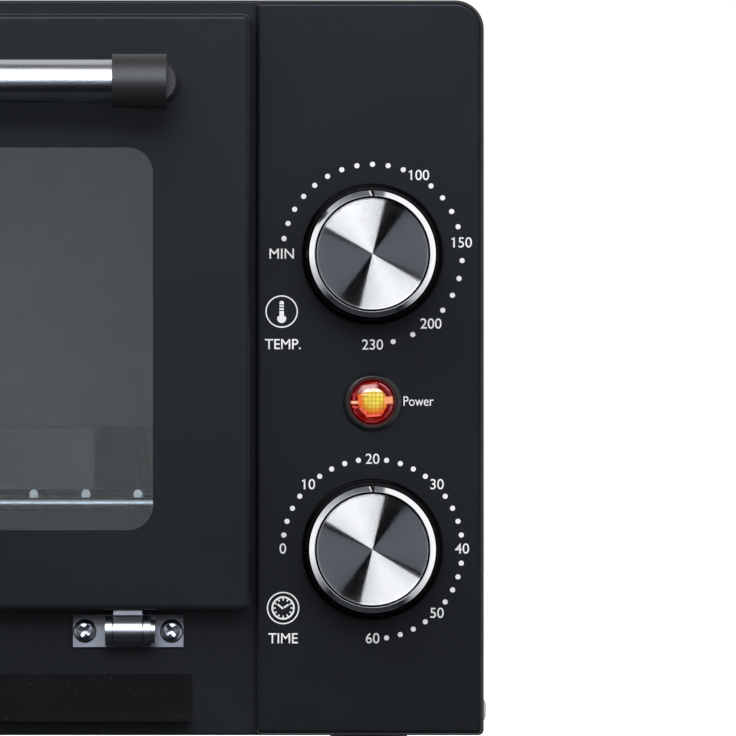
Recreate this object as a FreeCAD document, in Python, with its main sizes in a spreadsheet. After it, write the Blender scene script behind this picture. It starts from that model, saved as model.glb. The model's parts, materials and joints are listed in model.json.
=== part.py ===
"""Mini oven: a bench-top oven with a bottom-hinged glass door on the left and, on the right, a
control panel with a temperature knob, a pilot lamp and a 60 minute timer knob.

Millimetres, +Z up, the front faces -Y, +X is to the right. The origin lies on the table under the
middle of the outline. Sizes are cells of one sheet, and every place is a formula of those cells.
"""
import FreeCAD, Part
import math
import operator
import os

import Sketcher

V = FreeCAD.Vector
doc = FreeCAD.newDocument("mini_oven")

# Sizes
SIZES = {
    # casing
    "body_width": 362.0,  # over the side flanges of the front frame
    "body_height": 204.0,
    "body_depth": 255.0,  # front frame to rear cover
    "corner_round": 8.0,  # upper corners
    "lower_round": 1.6,  # lower corners
    "foot_height": 13.0,
    "foot_radius": 11.0,
    "foot_taper": 2.0,
    "foot_inset_side": 32.0,
    "foot_inset_front": 32.0,
    "foot_inset_rear": 34.0,
    "foot_screw_recess": 6.0,
    "foot_screw_end": 3.2,  # its end above the base plate
    "spacer_reach": 18.0,
    "spacer_radius": 9.0,
    "spacer_taper": 2.5,
    "spacer_apart": 200.0,
    "spacer_drop": 20.0,
    "frame_gauge": 1.0,
    "frame_flange": 9.0,
    "frame_edge_round": 0.7,
    "cover_gauge": 0.8,
    "base_gauge": 1.0,
    "base_flange": 10.0,
    "rear_gauge": 0.8,
    "rear_flange": 10.0,
    "sheet_gap": 0.15,  # slip between sheets that tuck into each other
    # vents
    "louvre_length": 26.0,
    "louvre_height": 2.6,
    "louvre_pitch": 7.0,
    "louvre_column": 34.0,
    "louvre_rows": 8,
    "louvre_columns": 3,
    "louvre_from_rear": 20.0,
    "louvre_from_top": 26.0,
    "vent_length": 30.0,
    "vent_height": 3.0,
    "vent_pitch": 8.0,
    "vent_column": 42.0,
    "rear_vent_rows": 6,
    "rear_vent_columns": 6,
    "rear_vent_from_top": 42.0,
    "base_vent_rows": 5,
    "base_vent_aside": 3.2,  # from the heat shield's foot
    # door opening and cavity
    "opening_left": 16.0,  # from the oven's left side
    "opening_right": 14.8,  # from the control panel
    "opening_drop": 18.0,  # below the casing's top
    "opening_round": 4.0,
    "sill_height": 40.0,
    "cavity_gauge": 0.8,
    "cavity_behind": 38.0,  # from the cavity's back to the rear cover
    "boss_margin": 26.0,
    "boss_depth": 4.0,
    "boss_round": 14.0,
    "rail_levels": 3,
    "rail_first": 22.0,
    "rail_pitch": 36.0,
    "rail_depth": 6.0,
    "rail_height": 8.0,
    "rail_flat": 3.0,
    # heaters
    "heater_radius": 3.25,
    "heater_drop": 13.0,
    "heater_rise": 4.0,
    "heater_first": 56.0,
    "heater_apart": 104.0,
    "heater_stud": 1.5,
    "stud_reach": 10.5,
    "bush_radius": 5.0,
    "bush_collar": 7.0,
    "bush_collar_depth": 2.5,
    "bush_reach": 6.0,
    "bush_clearance": 0.05,
    "link_gauge": 0.8,
    "link_height": 6.0,
    "shield_gap": 16.0,
    "shield_gauge": 0.8,
    "shield_foot": 9.0,
    "shield_hole": 3.0,
    # crumb tray
    "crumb_side": 7.0,  # from the opening's sides
    "crumb_behind": 5.3,  # from the cavity's back
    "crumb_gauge": 0.8,
    "crumb_wall": 6.0,
    "crumb_rise": 5.0,
    "crumb_slack": 0.8,
    "lip_gauge": 1.0,
    "lip_gap": 0.3,
    "lip_cover": 4.0,
    "lip_grip": 10.0,
    "lip_turn": 3.0,
    "guide_width": 5.0,
    "guide_gauge": 1.0,
    "slide_gap": 0.2,
    # door
    "door_gap": 1.0,
    "door_depth": 14.0,
    "door_gauge": 1.0,
    "door_left": 3.0,
    "door_side_gap": 1.5,
    "door_top_drop": 4.0,
    "door_rise": 35.0,
    "door_round": 7.0,
    "door_inner_round": 2.0,
    "door_edge_round": 1.4,
    "window_side": 27.0,
    "window_top": 37.0,
    "window_bottom": 22.0,
    "window_round": 7.0,
    "glass_gauge": 3.2,
    "glass_lap": 9.0,
    "glass_seat": 0.1,
    "retainer_gauge": 0.8,
    "retainer_inset": 4.0,
    "retainer_lap": 3.0,
    # handle
    "handle_radius": 6.0,
    "handle_standoff": 25.0,
    "handle_drop": 19.0,
    "handle_inset": 26.0,
    "handle_wall": 1.0,
    "post_radius": 7.5,
    "post_width": 15.0,
    "post_neck": 5.5,
    "post_socket": 12.0,
    "handle_clearance": 0.05,
    "handle_screw_radius": 2.0,
    # hinge
    "hinge_reach": 8.0,
    "hinge_drop": 6.0,
    "hinge_inset": 34.0,
    "pin_radius": 2.0,
    "pin_clearance": 0.05,
    "pin_head": 3.2,
    "pin_head_depth": 1.2,
    "knuckle_radius": 4.0,
    "leaf_width": 8.0,
    "leaf_gauge": 1.5,
    "leaf_foot": 5.0,
    "ear_gauge": 2.0,
    "ear_gap": 0.3,
    "bracket_gauge": 1.5,
    "bracket_side": 9.0,
    "bracket_height": 9.0,
    # door arms and springs
    "arm_radius": 31.0,
    "arm_height": 6.0,
    "arm_gauge": 2.0,
    "arm_sweep": 117.0,  # degrees
    "arm_tail": 108.0,  # degrees behind upright, door shut
    "arm_slot_gap": 0.9,
    "spring_radius": 2.8,
    "spring_length": 46.0,
    "spring_inset": 8.0,  # degrees before the arm's tail
    "spring_eye": 2.2,
    "spring_wire": 0.7,
    "spring_hole": 1.4,
    "spring_slack": 0.05,
    "anchor_radius": 1.2,
    "anchor_foot": 1.9,
    "anchor_foot_height": 1.5,
    # control panel
    "panel_width": 63.2,
    "panel_proud": 4.0,
    "panel_gauge": 1.2,
    "panel_inset": 0.4,
    "panel_edge_round": 1.3,
    "panel_inner_round": 1.6,
    "panel_hole": 4.6,
    "knob_from_edge": 30.9,
    "timer_rise": 51.7,
    "knob_apart": 81.8,
    "lamp_rise": 92.5,
    # knobs
    "knob_gap": 0.8,
    "skirt_radius": 19.6,
    "skirt_band": 2.6,
    "skirt_neck": 18.6,
    "skirt_top": 17.95,
    "skirt_wall": 2.0,
    "skirt_height": 14.2,
    "skirt_break": 0.5,
    "hub_radius": 5.6,
    "hub_start": 1.0,
    "hub_floor": 12.5,
    "seat_radius": 15.9,
    "seat_height": 17.2,
    "rim_radius": 17.7,
    "rim_inner": 15.95,
    "rim_height": 19.3,
    "rim_bevel": 1.2,
    "rim_break": 0.35,
    "notch_width": 1.2,
    "notch_depth": 1.0,
    "cap_radius": 15.2,
    "cap_height": 1.3,
    "cap_bevel": 0.4,
    "shaft_radius": 3.0,
    "shaft_flat": 2.2,
    "shaft_grip": 12.0,
    "shaft_clearance": 0.05,
    "shaft_end_gap": 0.3,
    # thermostat and timer
    "neck_radius": 4.4,
    "neck_reach": 2.0,
    "neck_clearance": 0.1,
    "bearing_depth": 12.0,
    "strap_gauge": 1.0,
    "strap_half": 21.0,
    "strap_height": 9.0,
    "thermostat_width": 26.0,
    "thermostat_height": 32.0,
    "thermostat_depth": 22.0,
    "timer_width": 46.0,
    "timer_height": 40.0,
    "timer_depth": 28.0,
    "bell_radius": 17.0,
    "bell_height": 9.0,
    "bell_shoulder": 5.0,  # height at which the cup starts to close
    "bell_crown": 9.4,  # radius of the flat on top
    "bell_gauge": 0.8,
    "bell_gap": 3.0,
    "hammer_gauge": 1.2,
    "hammer_width": 5.0,
    # pilot lamp
    "lens_radius": 6.5,
    "lens_rise": 4.4,
    "lens_shoulder": 5.85,
    "lens_shoulder_rise": 2.0,
    "lens_crown": 4.0,
    "lens_crown_rise": 3.5,
    "lens_stand": 0.4,  # its foot in front of the panel
    "lens_wall": 1.0,
    "bezel_radius": 8.1,
    "bezel_height": 1.8,
    "bezel_break": 0.5,
    "holder_radius": 6.2,
    "holder_length": 18.0,
    "holder_wall": 1.0,
    "neon_radius": 2.4,
    "neon_length": 12.0,
    "clip_radius": 10.0,
    "clip_gauge": 0.6,
    "lamp_clearance": 0.1,
    # rack and baking tray
    "rack_play": 1.6,
    "rack_bar": 2.0,
    "rack_wire": 1.25,
    "rack_sink": 0.5,
    "rack_end_gap": 6.0,
    "rack_corner": 10.0,
    "rack_wires": 17,
    "rack_lift": 0.15,
    "tray_side": 18.0,  # from the opening's sides
    "tray_end": 12.0,  # from the rack's bars
    "tray_height": 17.0,
    "tray_gauge": 0.8,
    "tray_rim": 5.0,
    "tray_round": 16.0,
    # terminals and cord inlet
    "block_width": 30.0,
    "block_depth": 18.0,
    "block_height": 14.0,
    "block_behind_heater": 25.0,
    "block_screw_radius": 2.2,
    "gland_rise": 26.0,
    "gland_flange": 9.0,
    "gland_flange_depth": 3.0,
    "gland_neck": 6.5,
    "gland_bore": 3.6,
    "gland_nut": 9.5,
    "gland_nut_depth": 5.0,
    "gland_clearance": 0.1,
    "earth_aside": 24.0,
    "earth_from_rear": 24.0,
    # fasteners
    "screw_head": 3.2,
    "screw_head_depth": 1.8,
    "screw_shank": 1.7,
    "screw_length": 7.0,
    "screw_clearance": 0.1,
    # wires
    "wire_radius": 1.1,
    "wire_bend": 7.0,
    "wire_loop": 26.0,
    "wire_aside": 3.3,  # from the timer's side
    "wire_below": 2.2,  # from the timer's top
}

sheet = doc.addObject("Spreadsheet::Sheet", "Sizes")
for row, (alias, amount) in enumerate(SIZES.items(), start=1):
    sheet.set(f"A{row}", alias)
    sheet.set(f"B{row}", str(amount))
    sheet.setAlias(f"B{row}", alias)
doc.recompute()


# Formulas
class Formula:
    """A size worked out from the sheet: its formula in the sheet's names, and what it comes to."""

    def __init__(self, text, value):
        self.text = text
        self.value = value

    def __add__(self, other):
        return joined(self, "+", other)

    def __radd__(self, other):
        return joined(other, "+", self)

    def __sub__(self, other):
        return joined(self, "-", other)

    def __rsub__(self, other):
        return joined(other, "-", self)

    def __mul__(self, other):
        return joined(self, "*", other)

    def __rmul__(self, other):
        return joined(other, "*", self)

    def __truediv__(self, other):
        return joined(self, "/", other)

    def __neg__(self):
        return Formula(f"(0 - {self.text})", -self.value)


OPERATIONS = {"+": operator.add, "-": operator.sub, "*": operator.mul, "/": operator.truediv}


def formula(amount):
    """A plain number as a formula; a formula stays as it is."""
    return amount if isinstance(amount, Formula) else Formula(f"({amount})", float(amount))


def joined(left, sign, right):
    left, right = formula(left), formula(right)
    return Formula(f"({left.text} {sign} {right.text})", OPERATIONS[sign](left.value, right.value))


def ordered(*amounts):
    """The formulas from the lowest to the highest."""
    return sorted(amounts, key=lambda amount: amount.value)


def root(amount):
    return Formula(f"sqrt({amount.text})", math.sqrt(amount.value))


def sine(degrees):
    return Formula(f"sin({degrees.text})", math.sin(math.radians(degrees.value)))


def cosine(degrees):
    return Formula(f"cos({degrees.text})", math.cos(math.radians(degrees.value)))


class Cells:
    """Each cell of the sheet, by its alias, as a formula."""

    def __init__(self):
        for alias in SIZES:
            setattr(self, alias, Formula(f"Sizes.{alias}", float(sheet.get(alias))))


s = Cells()


def bind(item, prop, amount):
    item.setExpression(prop, formula(amount).text)


def place(item, x=None, y=None, z=None):
    for side, amount in (("x", x), ("y", y), ("z", z)):
        if amount is not None:
            bind(item, f"Placement.Base.{side}", amount)


# Places
half_width = s.body_width / 2
front = (
    s.door_gap + s.door_depth + s.handle_standoff + s.post_radius - s.body_depth - s.spacer_reach
) / 2
rear = front + s.body_depth
under = s.foot_height
top = under + s.body_height
frame_back = front + s.frame_gauge

skin = half_width - s.frame_gauge
skin_top = top - s.frame_gauge
lining = skin - s.cover_gauge
lining_top = skin_top - s.cover_gauge
base_under = under + s.frame_gauge
base_top = base_under + s.base_gauge
base_rear = rear - s.rear_flange - s.sheet_gap

open_left = s.opening_left - half_width
open_right = half_width - s.panel_width - s.opening_right
open_low = under + s.sill_height
open_high = top - s.opening_drop
cavity_back = rear - s.cavity_behind
rack_rail = open_low + s.rail_first

panel_front = front - s.panel_proud
panel_left = half_width - s.panel_width
panel_right = half_width - s.panel_inset
panel_low = under + s.panel_inset
panel_high = top - s.panel_inset
knob_x = half_width - s.knob_from_edge
timer_z = under + s.timer_rise
thermostat_z = timer_z + s.knob_apart
lamp_z = under + s.lamp_rise
knob_back = panel_front - s.knob_gap

door_inner = front - s.door_gap
door_front = door_inner - s.door_depth
door_left = s.door_left - half_width
door_right = panel_left - s.door_side_gap
door_low = under + s.door_rise
door_high = top - s.door_top_drop
window_left = door_left + s.window_side
window_right = door_right - s.window_side
window_low = door_low + s.window_bottom
window_high = door_high - s.window_top
glass_front = door_front + s.door_gauge + s.glass_seat
glass_back = glass_front + s.glass_gauge

hinge_y = front - s.hinge_reach
hinge_z = door_low - s.hinge_drop
hinge_left = door_left + s.hinge_inset
hinge_right = door_right - s.hinge_inset
handle_y = door_front - s.handle_standoff
handle_z = door_high - s.handle_drop
handle_left = door_left + s.handle_inset
handle_right = door_right - s.handle_inset

arm_left = door_left + s.door_gauge
arm_right = door_right - s.door_gauge - s.arm_gauge
arm_low = s.arm_radius - s.arm_height / 2
arm_high = s.arm_radius + s.arm_height / 2

crumb_left = open_left + s.crumb_side
crumb_right = open_right - s.crumb_side
crumb_z = base_top + s.crumb_rise
lip_back = front - s.lip_gap
lip_front = lip_back - s.lip_gauge
lip_low = crumb_z - s.lip_cover + s.lip_gauge
lip_high = crumb_z + s.crumb_wall + s.lip_cover

heater_z = {"upper": open_high - s.heater_drop, "lower": open_low + s.heater_rise}
heater_y = {"front": front + s.heater_first, "rear": front + s.heater_first + s.heater_apart}
shield_x = open_right + s.shield_gap


# Sub-parts and primitives
PARTS = []


def part(item, label):
    """Names a finished sub-part."""
    item.Label = label
    PARTS.append(item)
    return item


TURNS = {
    "x": FreeCAD.Rotation(V(0, 1, 0), 90),
    "y": FreeCAD.Rotation(V(1, 0, 0), -90),
    "z": FreeCAD.Rotation(),
}


def block(x, y, z):
    """A rectangular block; x, y and z are pairs, from and to."""
    box = doc.addObject("Part::Box", "block")
    for length, side, (start, end) in zip(("Length", "Width", "Height"), "xyz", (x, y, z)):
        bind(box, length, end - start)
        bind(box, f"Placement.Base.{side}", start)
    return box


def along(axis, start, across):
    """Puts a start along an axis together with the other two places, in x, y, z order."""
    spot = list(across)
    spot.insert("xyz".index(axis), start)
    return spot


def rod(axis, start, end, across, radius):
    """A round bar along an axis; across is its place on the other two axes."""
    bar = doc.addObject("Part::Cylinder", "rod")
    bar.Placement = FreeCAD.Placement(V(), TURNS[axis])
    bind(bar, "Radius", radius)
    bind(bar, "Height", end - start)
    place(bar, *along(axis, start, across))
    return bar


def cone(axis, start, end, across, radius_start, radius_end):
    taper = doc.addObject("Part::Cone", "cone")
    taper.Placement = FreeCAD.Placement(V(), TURNS[axis])
    bind(taper, "Radius1", radius_start)
    bind(taper, "Radius2", radius_end)
    bind(taper, "Height", end - start)
    place(taper, *along(axis, start, across))
    return taper


def fuse(*items):
    union = doc.addObject("Part::MultiFuse", "union")
    union.Shapes = list(items)
    union.Refine = True
    return union


def cut(stock, *cutters):
    result = doc.addObject("Part::Cut", "cut")
    result.Base = stock
    result.Tool = cutters[0] if len(cutters) == 1 else fuse(*cutters)
    result.Refine = True
    return result


def group(items):
    """Separate like solids that share one node."""
    bundle = doc.addObject("Part::Compound", "group")
    bundle.Links = list(items)
    return bundle


def screw(axis, seat, across, into):
    """A pan head screw: its head stands on the seat, its shank runs into the metal."""
    head = (seat - s.screw_head_depth, seat) if into > 0 else (seat, seat + s.screw_head_depth)
    shank = (seat, seat + s.screw_length) if into > 0 else (seat - s.screw_length, seat)
    return fuse(rod(axis, *head, across, s.screw_head), rod(axis, *shank, across, s.screw_shank))


# Bodies drawn from sketches
PLANES = {"front": "XZ_Plane", "side": "YZ_Plane", "plan": "XY_Plane"}
AXES = {"x": "X_Axis", "y": "Y_Axis", "z": "Z_Axis"}


def origin_item(body, role):
    return next(item for item in body.Origin.OriginFeatures if item.Role == role)


def new_body():
    return doc.addObject("PartDesign::Body", "body")


def sketch(body, plane, offset=None):
    """A sketch on one of the body's own planes, moved to a place along the plane's axis."""
    drawing = body.newObject("Sketcher::SketchObject", "sketch")
    drawing.AttachmentSupport = [(origin_item(body, PLANES[plane]), "")]
    drawing.MapMode = "FlatFace"
    if offset is not None:
        bind(drawing, "AttachmentOffset.Base.z", -offset if plane == "front" else offset)
    return drawing


def pin(drawing, geometry, point, x=None, y=None):
    """Fixes a point's place in the sketch by formulas."""
    for kind, amount in (("DistanceX", x), ("DistanceY", y)):
        if amount is not None:
            amount = formula(amount)
            index = drawing.addConstraint(Sketcher.Constraint(kind, geometry, point, amount.value))
            drawing.setExpression(f"Constraints[{index}]", amount.text)


def set_radius(drawing, geometry, radius):
    radius = formula(radius)
    index = drawing.addConstraint(Sketcher.Constraint("Radius", geometry, radius.value))
    drawing.setExpression(f"Constraints[{index}]", radius.text)


def circle(drawing, x, y, radius):
    x, y, radius = formula(x), formula(y), formula(radius)
    ring = drawing.addGeometry(Part.Circle(V(x.value, y.value, 0), V(0, 0, 1), radius.value), False)
    pin(drawing, ring, 3, x, y)
    set_radius(drawing, ring, radius)


def polygon(drawing, points):
    """A closed outline of straight lines through the points."""
    points = [(formula(x), formula(y)) for x, y in points]
    spots = [V(x.value, y.value, 0) for x, y in points]
    first = drawing.GeometryCount
    count = len(points)
    for number in range(count):
        line = Part.LineSegment(spots[number], spots[(number + 1) % count])
        drawing.addGeometry(line, False)
    for number, (x, y) in enumerate(points):
        after = first + (number + 1) % count
        drawing.addConstraint(Sketcher.Constraint("Coincident", first + number, 2, after, 1))
        pin(drawing, first + number, 1, x, y)


def rectangle(drawing, left, right, low, high):
    polygon(drawing, [(left, low), (right, low), (right, high), (left, high)])


def rounded(drawing, left, right, low, high, radii):
    """A rectangle with tangent arcs at its corners, from the lower left one anticlockwise.

    A radius of None leaves that corner square.
    """
    left, right, low, high = (formula(amount) for amount in (left, right, low, high))
    corners = [(left, low), (right, low), (right, high), (left, high)]
    inward = [(1, 1), (-1, 1), (-1, -1), (1, -1)]
    runs = [(1, 0), (0, 1), (-1, 0), (0, -1)]
    radii = [None if radius is None else formula(radius) for radius in radii]
    sizes = [0 if radius is None else radius.value for radius in radii]
    spots = [V(x.value, y.value, 0) for x, y in corners]
    lines = []
    arcs = []
    for number in range(4):
        after = (number + 1) % 4
        run = V(*runs[number], 0)
        line = Part.LineSegment(spots[number] + run * sizes[number], spots[after] - run * sizes[after])
        lines.append(drawing.addGeometry(line, False))
    for number in range(4):
        if radii[number] is None:
            arcs.append(None)
            continue
        centre = spots[number] + V(*inward[number], 0) * sizes[number]
        turned = math.pi + number * math.pi / 2
        ring = Part.Circle(centre, V(0, 0, 1), sizes[number])
        arcs.append(drawing.addGeometry(Part.ArcOfCircle(ring, turned, turned + math.pi / 2), False))
    for number in range(4):
        before = lines[number - 1]
        line = lines[number]
        if arcs[number] is None:
            drawing.addConstraint(Sketcher.Constraint("Coincident", before, 2, line, 1))
        else:
            drawing.addConstraint(Sketcher.Constraint("Tangent", before, 2, arcs[number], 1))
            drawing.addConstraint(Sketcher.Constraint("Tangent", arcs[number], 2, line, 1))
            set_radius(drawing, arcs[number], radii[number])
    for number, kind in enumerate(("Horizontal", "Vertical", "Horizontal", "Vertical")):
        drawing.addConstraint(Sketcher.Constraint(kind, lines[number]))
    pin(drawing, lines[0], 1, y=low)
    pin(drawing, lines[1], 1, x=right)
    pin(drawing, lines[2], 1, y=high)
    pin(drawing, lines[3], 1, x=left)


def pad(body, plane, low, high, draw, *outline):
    """Adds the outline's thickness from low to high along the plane's axis."""
    drawing = sketch(body, plane, low)
    draw(drawing, *outline)
    feature = body.newObject("PartDesign::Pad", "pad")
    feature.Profile = drawing
    feature.Reversed = plane == "front"
    bind(feature, "Length", high - low)
    body.Tip = feature
    return feature


def pocket(body, plane, low, high, draw, *outline):
    """Cuts the outline away from low to high along the plane's axis."""
    drawing = sketch(body, plane, low)
    draw(drawing, *outline)
    feature = body.newObject("PartDesign::Pocket", "pocket")
    feature.Profile = drawing
    feature.Reversed = plane != "front"
    bind(feature, "Length", high - low)
    body.Tip = feature
    return feature


def pattern(body, feature, *steps):
    """Repeats a feature in one or two directions; a step is an axis, a pitch and a count."""
    rows = body.newObject("PartDesign::LinearPattern", "rows")
    rows.Originals = [feature]
    for suffix, (axis, pitch, count) in zip(("", "2"), steps):
        setattr(rows, f"Direction{suffix}", (origin_item(body, AXES[axis]), [""]))
        bind(rows, f"Length{suffix}", pitch * (count - 1))
        bind(rows, f"Occurrences{suffix}", count)
    body.Tip = rows
    return rows


def turned(body, plane, points, axis):
    """A turned form: the outline through the points, revolved about the sketch's own axis."""
    drawing = sketch(body, plane)
    polygon(drawing, points)
    feature = body.newObject("PartDesign::Revolution", "turned")
    feature.Profile = drawing
    feature.ReferenceAxis = (drawing, [axis])
    feature.Angle = 360
    body.Tip = feature
    return feature


def face_edges(feature, axis, spot):
    """The edges round the largest flat face that lies at a place along an axis."""
    doc.recompute()
    shape = feature.Shape
    low, high = f"{axis.upper()}Min", f"{axis.upper()}Max"
    near = 0.001
    faces = [
        face
        for face in shape.Faces
        if abs(getattr(face.BoundBox, low) - spot.value) < near
        and abs(getattr(face.BoundBox, high) - spot.value) < near
    ]
    border = max(faces, key=lambda face: face.Area).OuterWire.Edges
    return [
        f"Edge{number}"
        for number, edge in enumerate(shape.Edges, start=1)
        if any(edge.isSame(other) for other in border)
    ]


def fillet(body, feature, edges, radius):
    rounding = body.newObject("PartDesign::Fillet", "fillet")
    rounding.Base = (feature, edges)
    bind(rounding, "Radius", radius)
    body.Tip = rounding
    return rounding


# Front frame
def circles(drawing, rings):
    for x, y, radius in rings:
        circle(drawing, x, y, radius)


def rectangles(drawing, boxes):
    for left, right, low, high in boxes:
        rectangle(drawing, left, right, low, high)


strap_screws = s.strap_half - s.screw_head - s.screw_clearance
screw_hole = s.screw_shank + s.screw_clearance
bracket_half = s.leaf_width / 2 + s.ear_gap + s.ear_gauge + s.bracket_side
bracket_screw = bracket_half - s.screw_head - s.screw_clearance
bracket_low = hinge_z - s.bracket_height / 2
bracket_high = hinge_z + s.bracket_height / 2
slot_reach = s.hinge_reach + s.frame_gauge
arm_slot_low = root(arm_low * arm_low - slot_reach * slot_reach) - s.arm_slot_gap
arm_slot_high = root(arm_high * arm_high - s.hinge_reach * s.hinge_reach) + s.arm_slot_gap


def arm_slot(arm_x):
    left = arm_x - s.arm_slot_gap
    right = arm_x + s.arm_gauge + s.arm_slot_gap
    return left, right, hinge_z + arm_slot_low, hinge_z + arm_slot_high


def control_holes():
    """The frame's holes for the two control necks, their straps' screws and the lamp."""
    for z in (timer_z, thermostat_z):
        yield knob_x, z, s.neck_radius + s.neck_clearance
        for side in (-1, 1):
            yield knob_x + side * strap_screws, z, screw_hole
    yield knob_x, lamp_z, s.clip_radius + s.lamp_clearance


def hinge_holes():
    for x in (hinge_left, hinge_right):
        for side in (-1, 1):
            yield x + side * bracket_screw, hinge_z, screw_hole


def make_front_frame():
    body = new_body()
    outer = [s.lower_round, s.lower_round, s.corner_round, s.corner_round]
    inner = [None, None, s.corner_round - s.frame_gauge, s.corner_round - s.frame_gauge]
    pad(body, "front", front, front + s.frame_flange, rounded, -half_width, half_width, under, top, outer)
    pocket(
        body, "front", frame_back, front + s.frame_flange,
        rounded, -skin, skin, base_under, skin_top, inner,
    )
    pocket(
        body, "front", front, frame_back,
        rounded, open_left, open_right, open_low, open_high, [s.opening_round] * 4,
    )
    slots = [
        (
            crumb_left - s.crumb_slack, crumb_right + s.crumb_slack,
            crumb_z - s.crumb_slack, crumb_z + s.crumb_wall + s.crumb_slack,
        ),
        arm_slot(arm_left),
        arm_slot(arm_right),
    ]
    pocket(body, "front", front, frame_back, rectangles, slots)
    holes = list(control_holes()) + list(hinge_holes())
    last = pocket(body, "front", front, frame_back, circles, holes)
    fillet(body, last, face_edges(last, "y", front), s.frame_edge_round)
    return part(body, "front_frame")


# Casing
side_screws_y = (front + s.foot_inset_front, rear - s.foot_inset_rear)
side_screws_z = (under + s.sill_height, top - s.sill_height)
low_screw_z = base_under + s.base_flange / 2 + s.base_gauge / 2
rear_screw_y = rear - s.rear_flange / 2


def side_holes():
    """The screws through the cover's sides: two low ones and two rear ones on each side."""
    for y in side_screws_y:
        yield y, low_screw_z
    for z in side_screws_z:
        yield rear_screw_y, z


def make_outer_cover():
    body = new_body()
    outer = [None, None, s.corner_round - s.frame_gauge, s.corner_round - s.frame_gauge]
    inner_round = s.corner_round - s.frame_gauge - s.cover_gauge
    inner = [None, None, inner_round, inner_round]
    pad(body, "front", frame_back, rear, rounded, -skin, skin, base_under, skin_top, outer)
    pocket(
        body, "front", frame_back, rear,
        rounded, -lining, lining, base_under - s.cover_gauge, lining_top, inner,
    )
    first_y = rear - s.louvre_from_rear - s.louvre_length
    first_z = top - s.louvre_from_top
    slot = pocket(
        body, "side", -half_width, half_width,
        rectangle, first_y, first_y + s.louvre_length, first_z - s.louvre_height, first_z,
    )
    pattern(
        body, slot,
        ("y", s.louvre_column, s.louvre_columns),
        ("z", s.louvre_pitch, s.louvre_rows),
    ).Reversed = True
    body.Tip.Reversed2 = True
    holes = [(y, z, screw_hole) for y, z in side_holes()]
    pocket(body, "side", -half_width, half_width, circles, holes)
    return part(body, "outer_cover")


def make_rear_cover():
    body = new_body()
    side = lining - s.sheet_gap
    high = lining_top - s.sheet_gap
    round_outer = s.corner_round - s.frame_gauge - s.cover_gauge - s.sheet_gap
    round_inner = round_outer - s.rear_gauge
    outer = [None, None, round_outer, round_outer]
    inner = [None, None, round_inner, round_inner]
    start = rear - s.rear_flange
    pad(body, "front", start, rear, rounded, -side, side, base_under, high, outer)
    pocket(
        body, "front", start, rear - s.rear_gauge,
        rounded, s.rear_gauge - side, side - s.rear_gauge,
        base_under + s.rear_gauge, high - s.rear_gauge, inner,
    )
    left = -(s.vent_column * (s.rear_vent_columns - 1) + s.vent_length) / 2
    high_vent = top - s.rear_vent_from_top
    slot = pocket(
        body, "front", rear - s.rear_gauge, rear,
        rectangle, left, left + s.vent_length, high_vent - s.vent_height, high_vent,
    )
    rows = pattern(
        body, slot,
        ("x", s.vent_column, s.rear_vent_columns),
        ("z", s.vent_pitch, s.rear_vent_rows),
    )
    rows.Reversed2 = True
    inlet = [(knob_x, base_top + s.gland_rise, s.gland_neck + s.gland_clearance)]
    pocket(body, "front", rear - s.rear_gauge, rear, circles, inlet)
    holes = [(rear_screw_y, z, screw_hole) for z in side_screws_z]
    pocket(body, "side", -half_width, half_width, circles, holes)
    return part(body, "rear_cover")


foot_xs = (s.foot_inset_side - half_width, half_width - s.foot_inset_side)
foot_ys = (front + s.foot_inset_front, rear - s.foot_inset_rear)


def make_base_plate():
    body = new_body()
    side = lining - s.sheet_gap
    pad(
        body, "plan", base_under, base_under + s.base_flange,
        rectangle, -side, side, frame_back, base_rear,
    )
    pocket(
        body, "plan", base_top, base_under + s.base_flange,
        rectangle, s.base_gauge - side, side - s.base_gauge,
        frame_back - s.base_gauge, base_rear + s.base_gauge,
    )
    first_x = shield_x + s.shield_foot + s.base_vent_aside
    first_y = foot_ys[0] + s.foot_radius + s.vent_pitch
    slot = pocket(
        body, "plan", base_under, base_top,
        rectangle, first_x, first_x + s.vent_length, first_y, first_y + s.vent_height,
    )
    pattern(body, slot, ("y", s.vent_pitch, s.base_vent_rows))
    holes = [(x, y, screw_hole) for x in foot_xs for y in foot_ys]
    pocket(body, "plan", base_under, base_top, circles, holes)
    side_cuts = [(y, low_screw_z, screw_hole) for y in side_screws_y]
    pocket(body, "side", -half_width, half_width, circles, side_cuts)
    return part(body, "base_plate")


def make_feet():
    body = new_body()
    height = base_under
    recess = s.foot_screw_recess
    hole = s.screw_shank + s.screw_clearance
    head = s.screw_head + s.screw_clearance
    outline = [
        (head, 0), (s.foot_radius - s.foot_taper, 0), (s.foot_radius, height),
        (hole, height), (hole, recess), (head, recess),
    ]
    foot = turned(body, "front", outline, "V_Axis")
    pair = formula(2)
    pattern(body, foot, ("x", foot_xs[1] - foot_xs[0], pair), ("y", foot_ys[1] - foot_ys[0], pair))
    place(body, foot_xs[0], foot_ys[0])
    part(body, "feet")
    screws = []
    for x in foot_xs:
        for y in foot_ys:
            head = rod("z", recess - s.screw_head_depth, formula(recess), (x, y), s.screw_head)
            shank = rod("z", formula(recess), base_top + s.foot_screw_end, (x, y), s.screw_shank)
            screws.append(fuse(head, shank))
    part(group(screws), "foot_screws")


def make_rear_spacers():
    pegs = [
        cone(
            "y", rear, rear + s.spacer_reach, (side * s.spacer_apart / 2, top - s.spacer_drop),
            s.spacer_radius, s.spacer_radius - s.spacer_taper,
        )
        for side in (-1, 1)
    ]
    return part(group(pegs), "rear_spacers")


def make_cover_screws():
    screws = []
    for y, z in side_holes():
        screws.append(screw("x", -skin, (y, z), 1))
        screws.append(screw("x", skin, (y, z), -1))
    return part(group(screws), "cover_screws")


# Cavity
def rail_levels():
    return [rack_rail + step * s.rail_pitch for step in range(int(s.rail_levels.value))]


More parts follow.
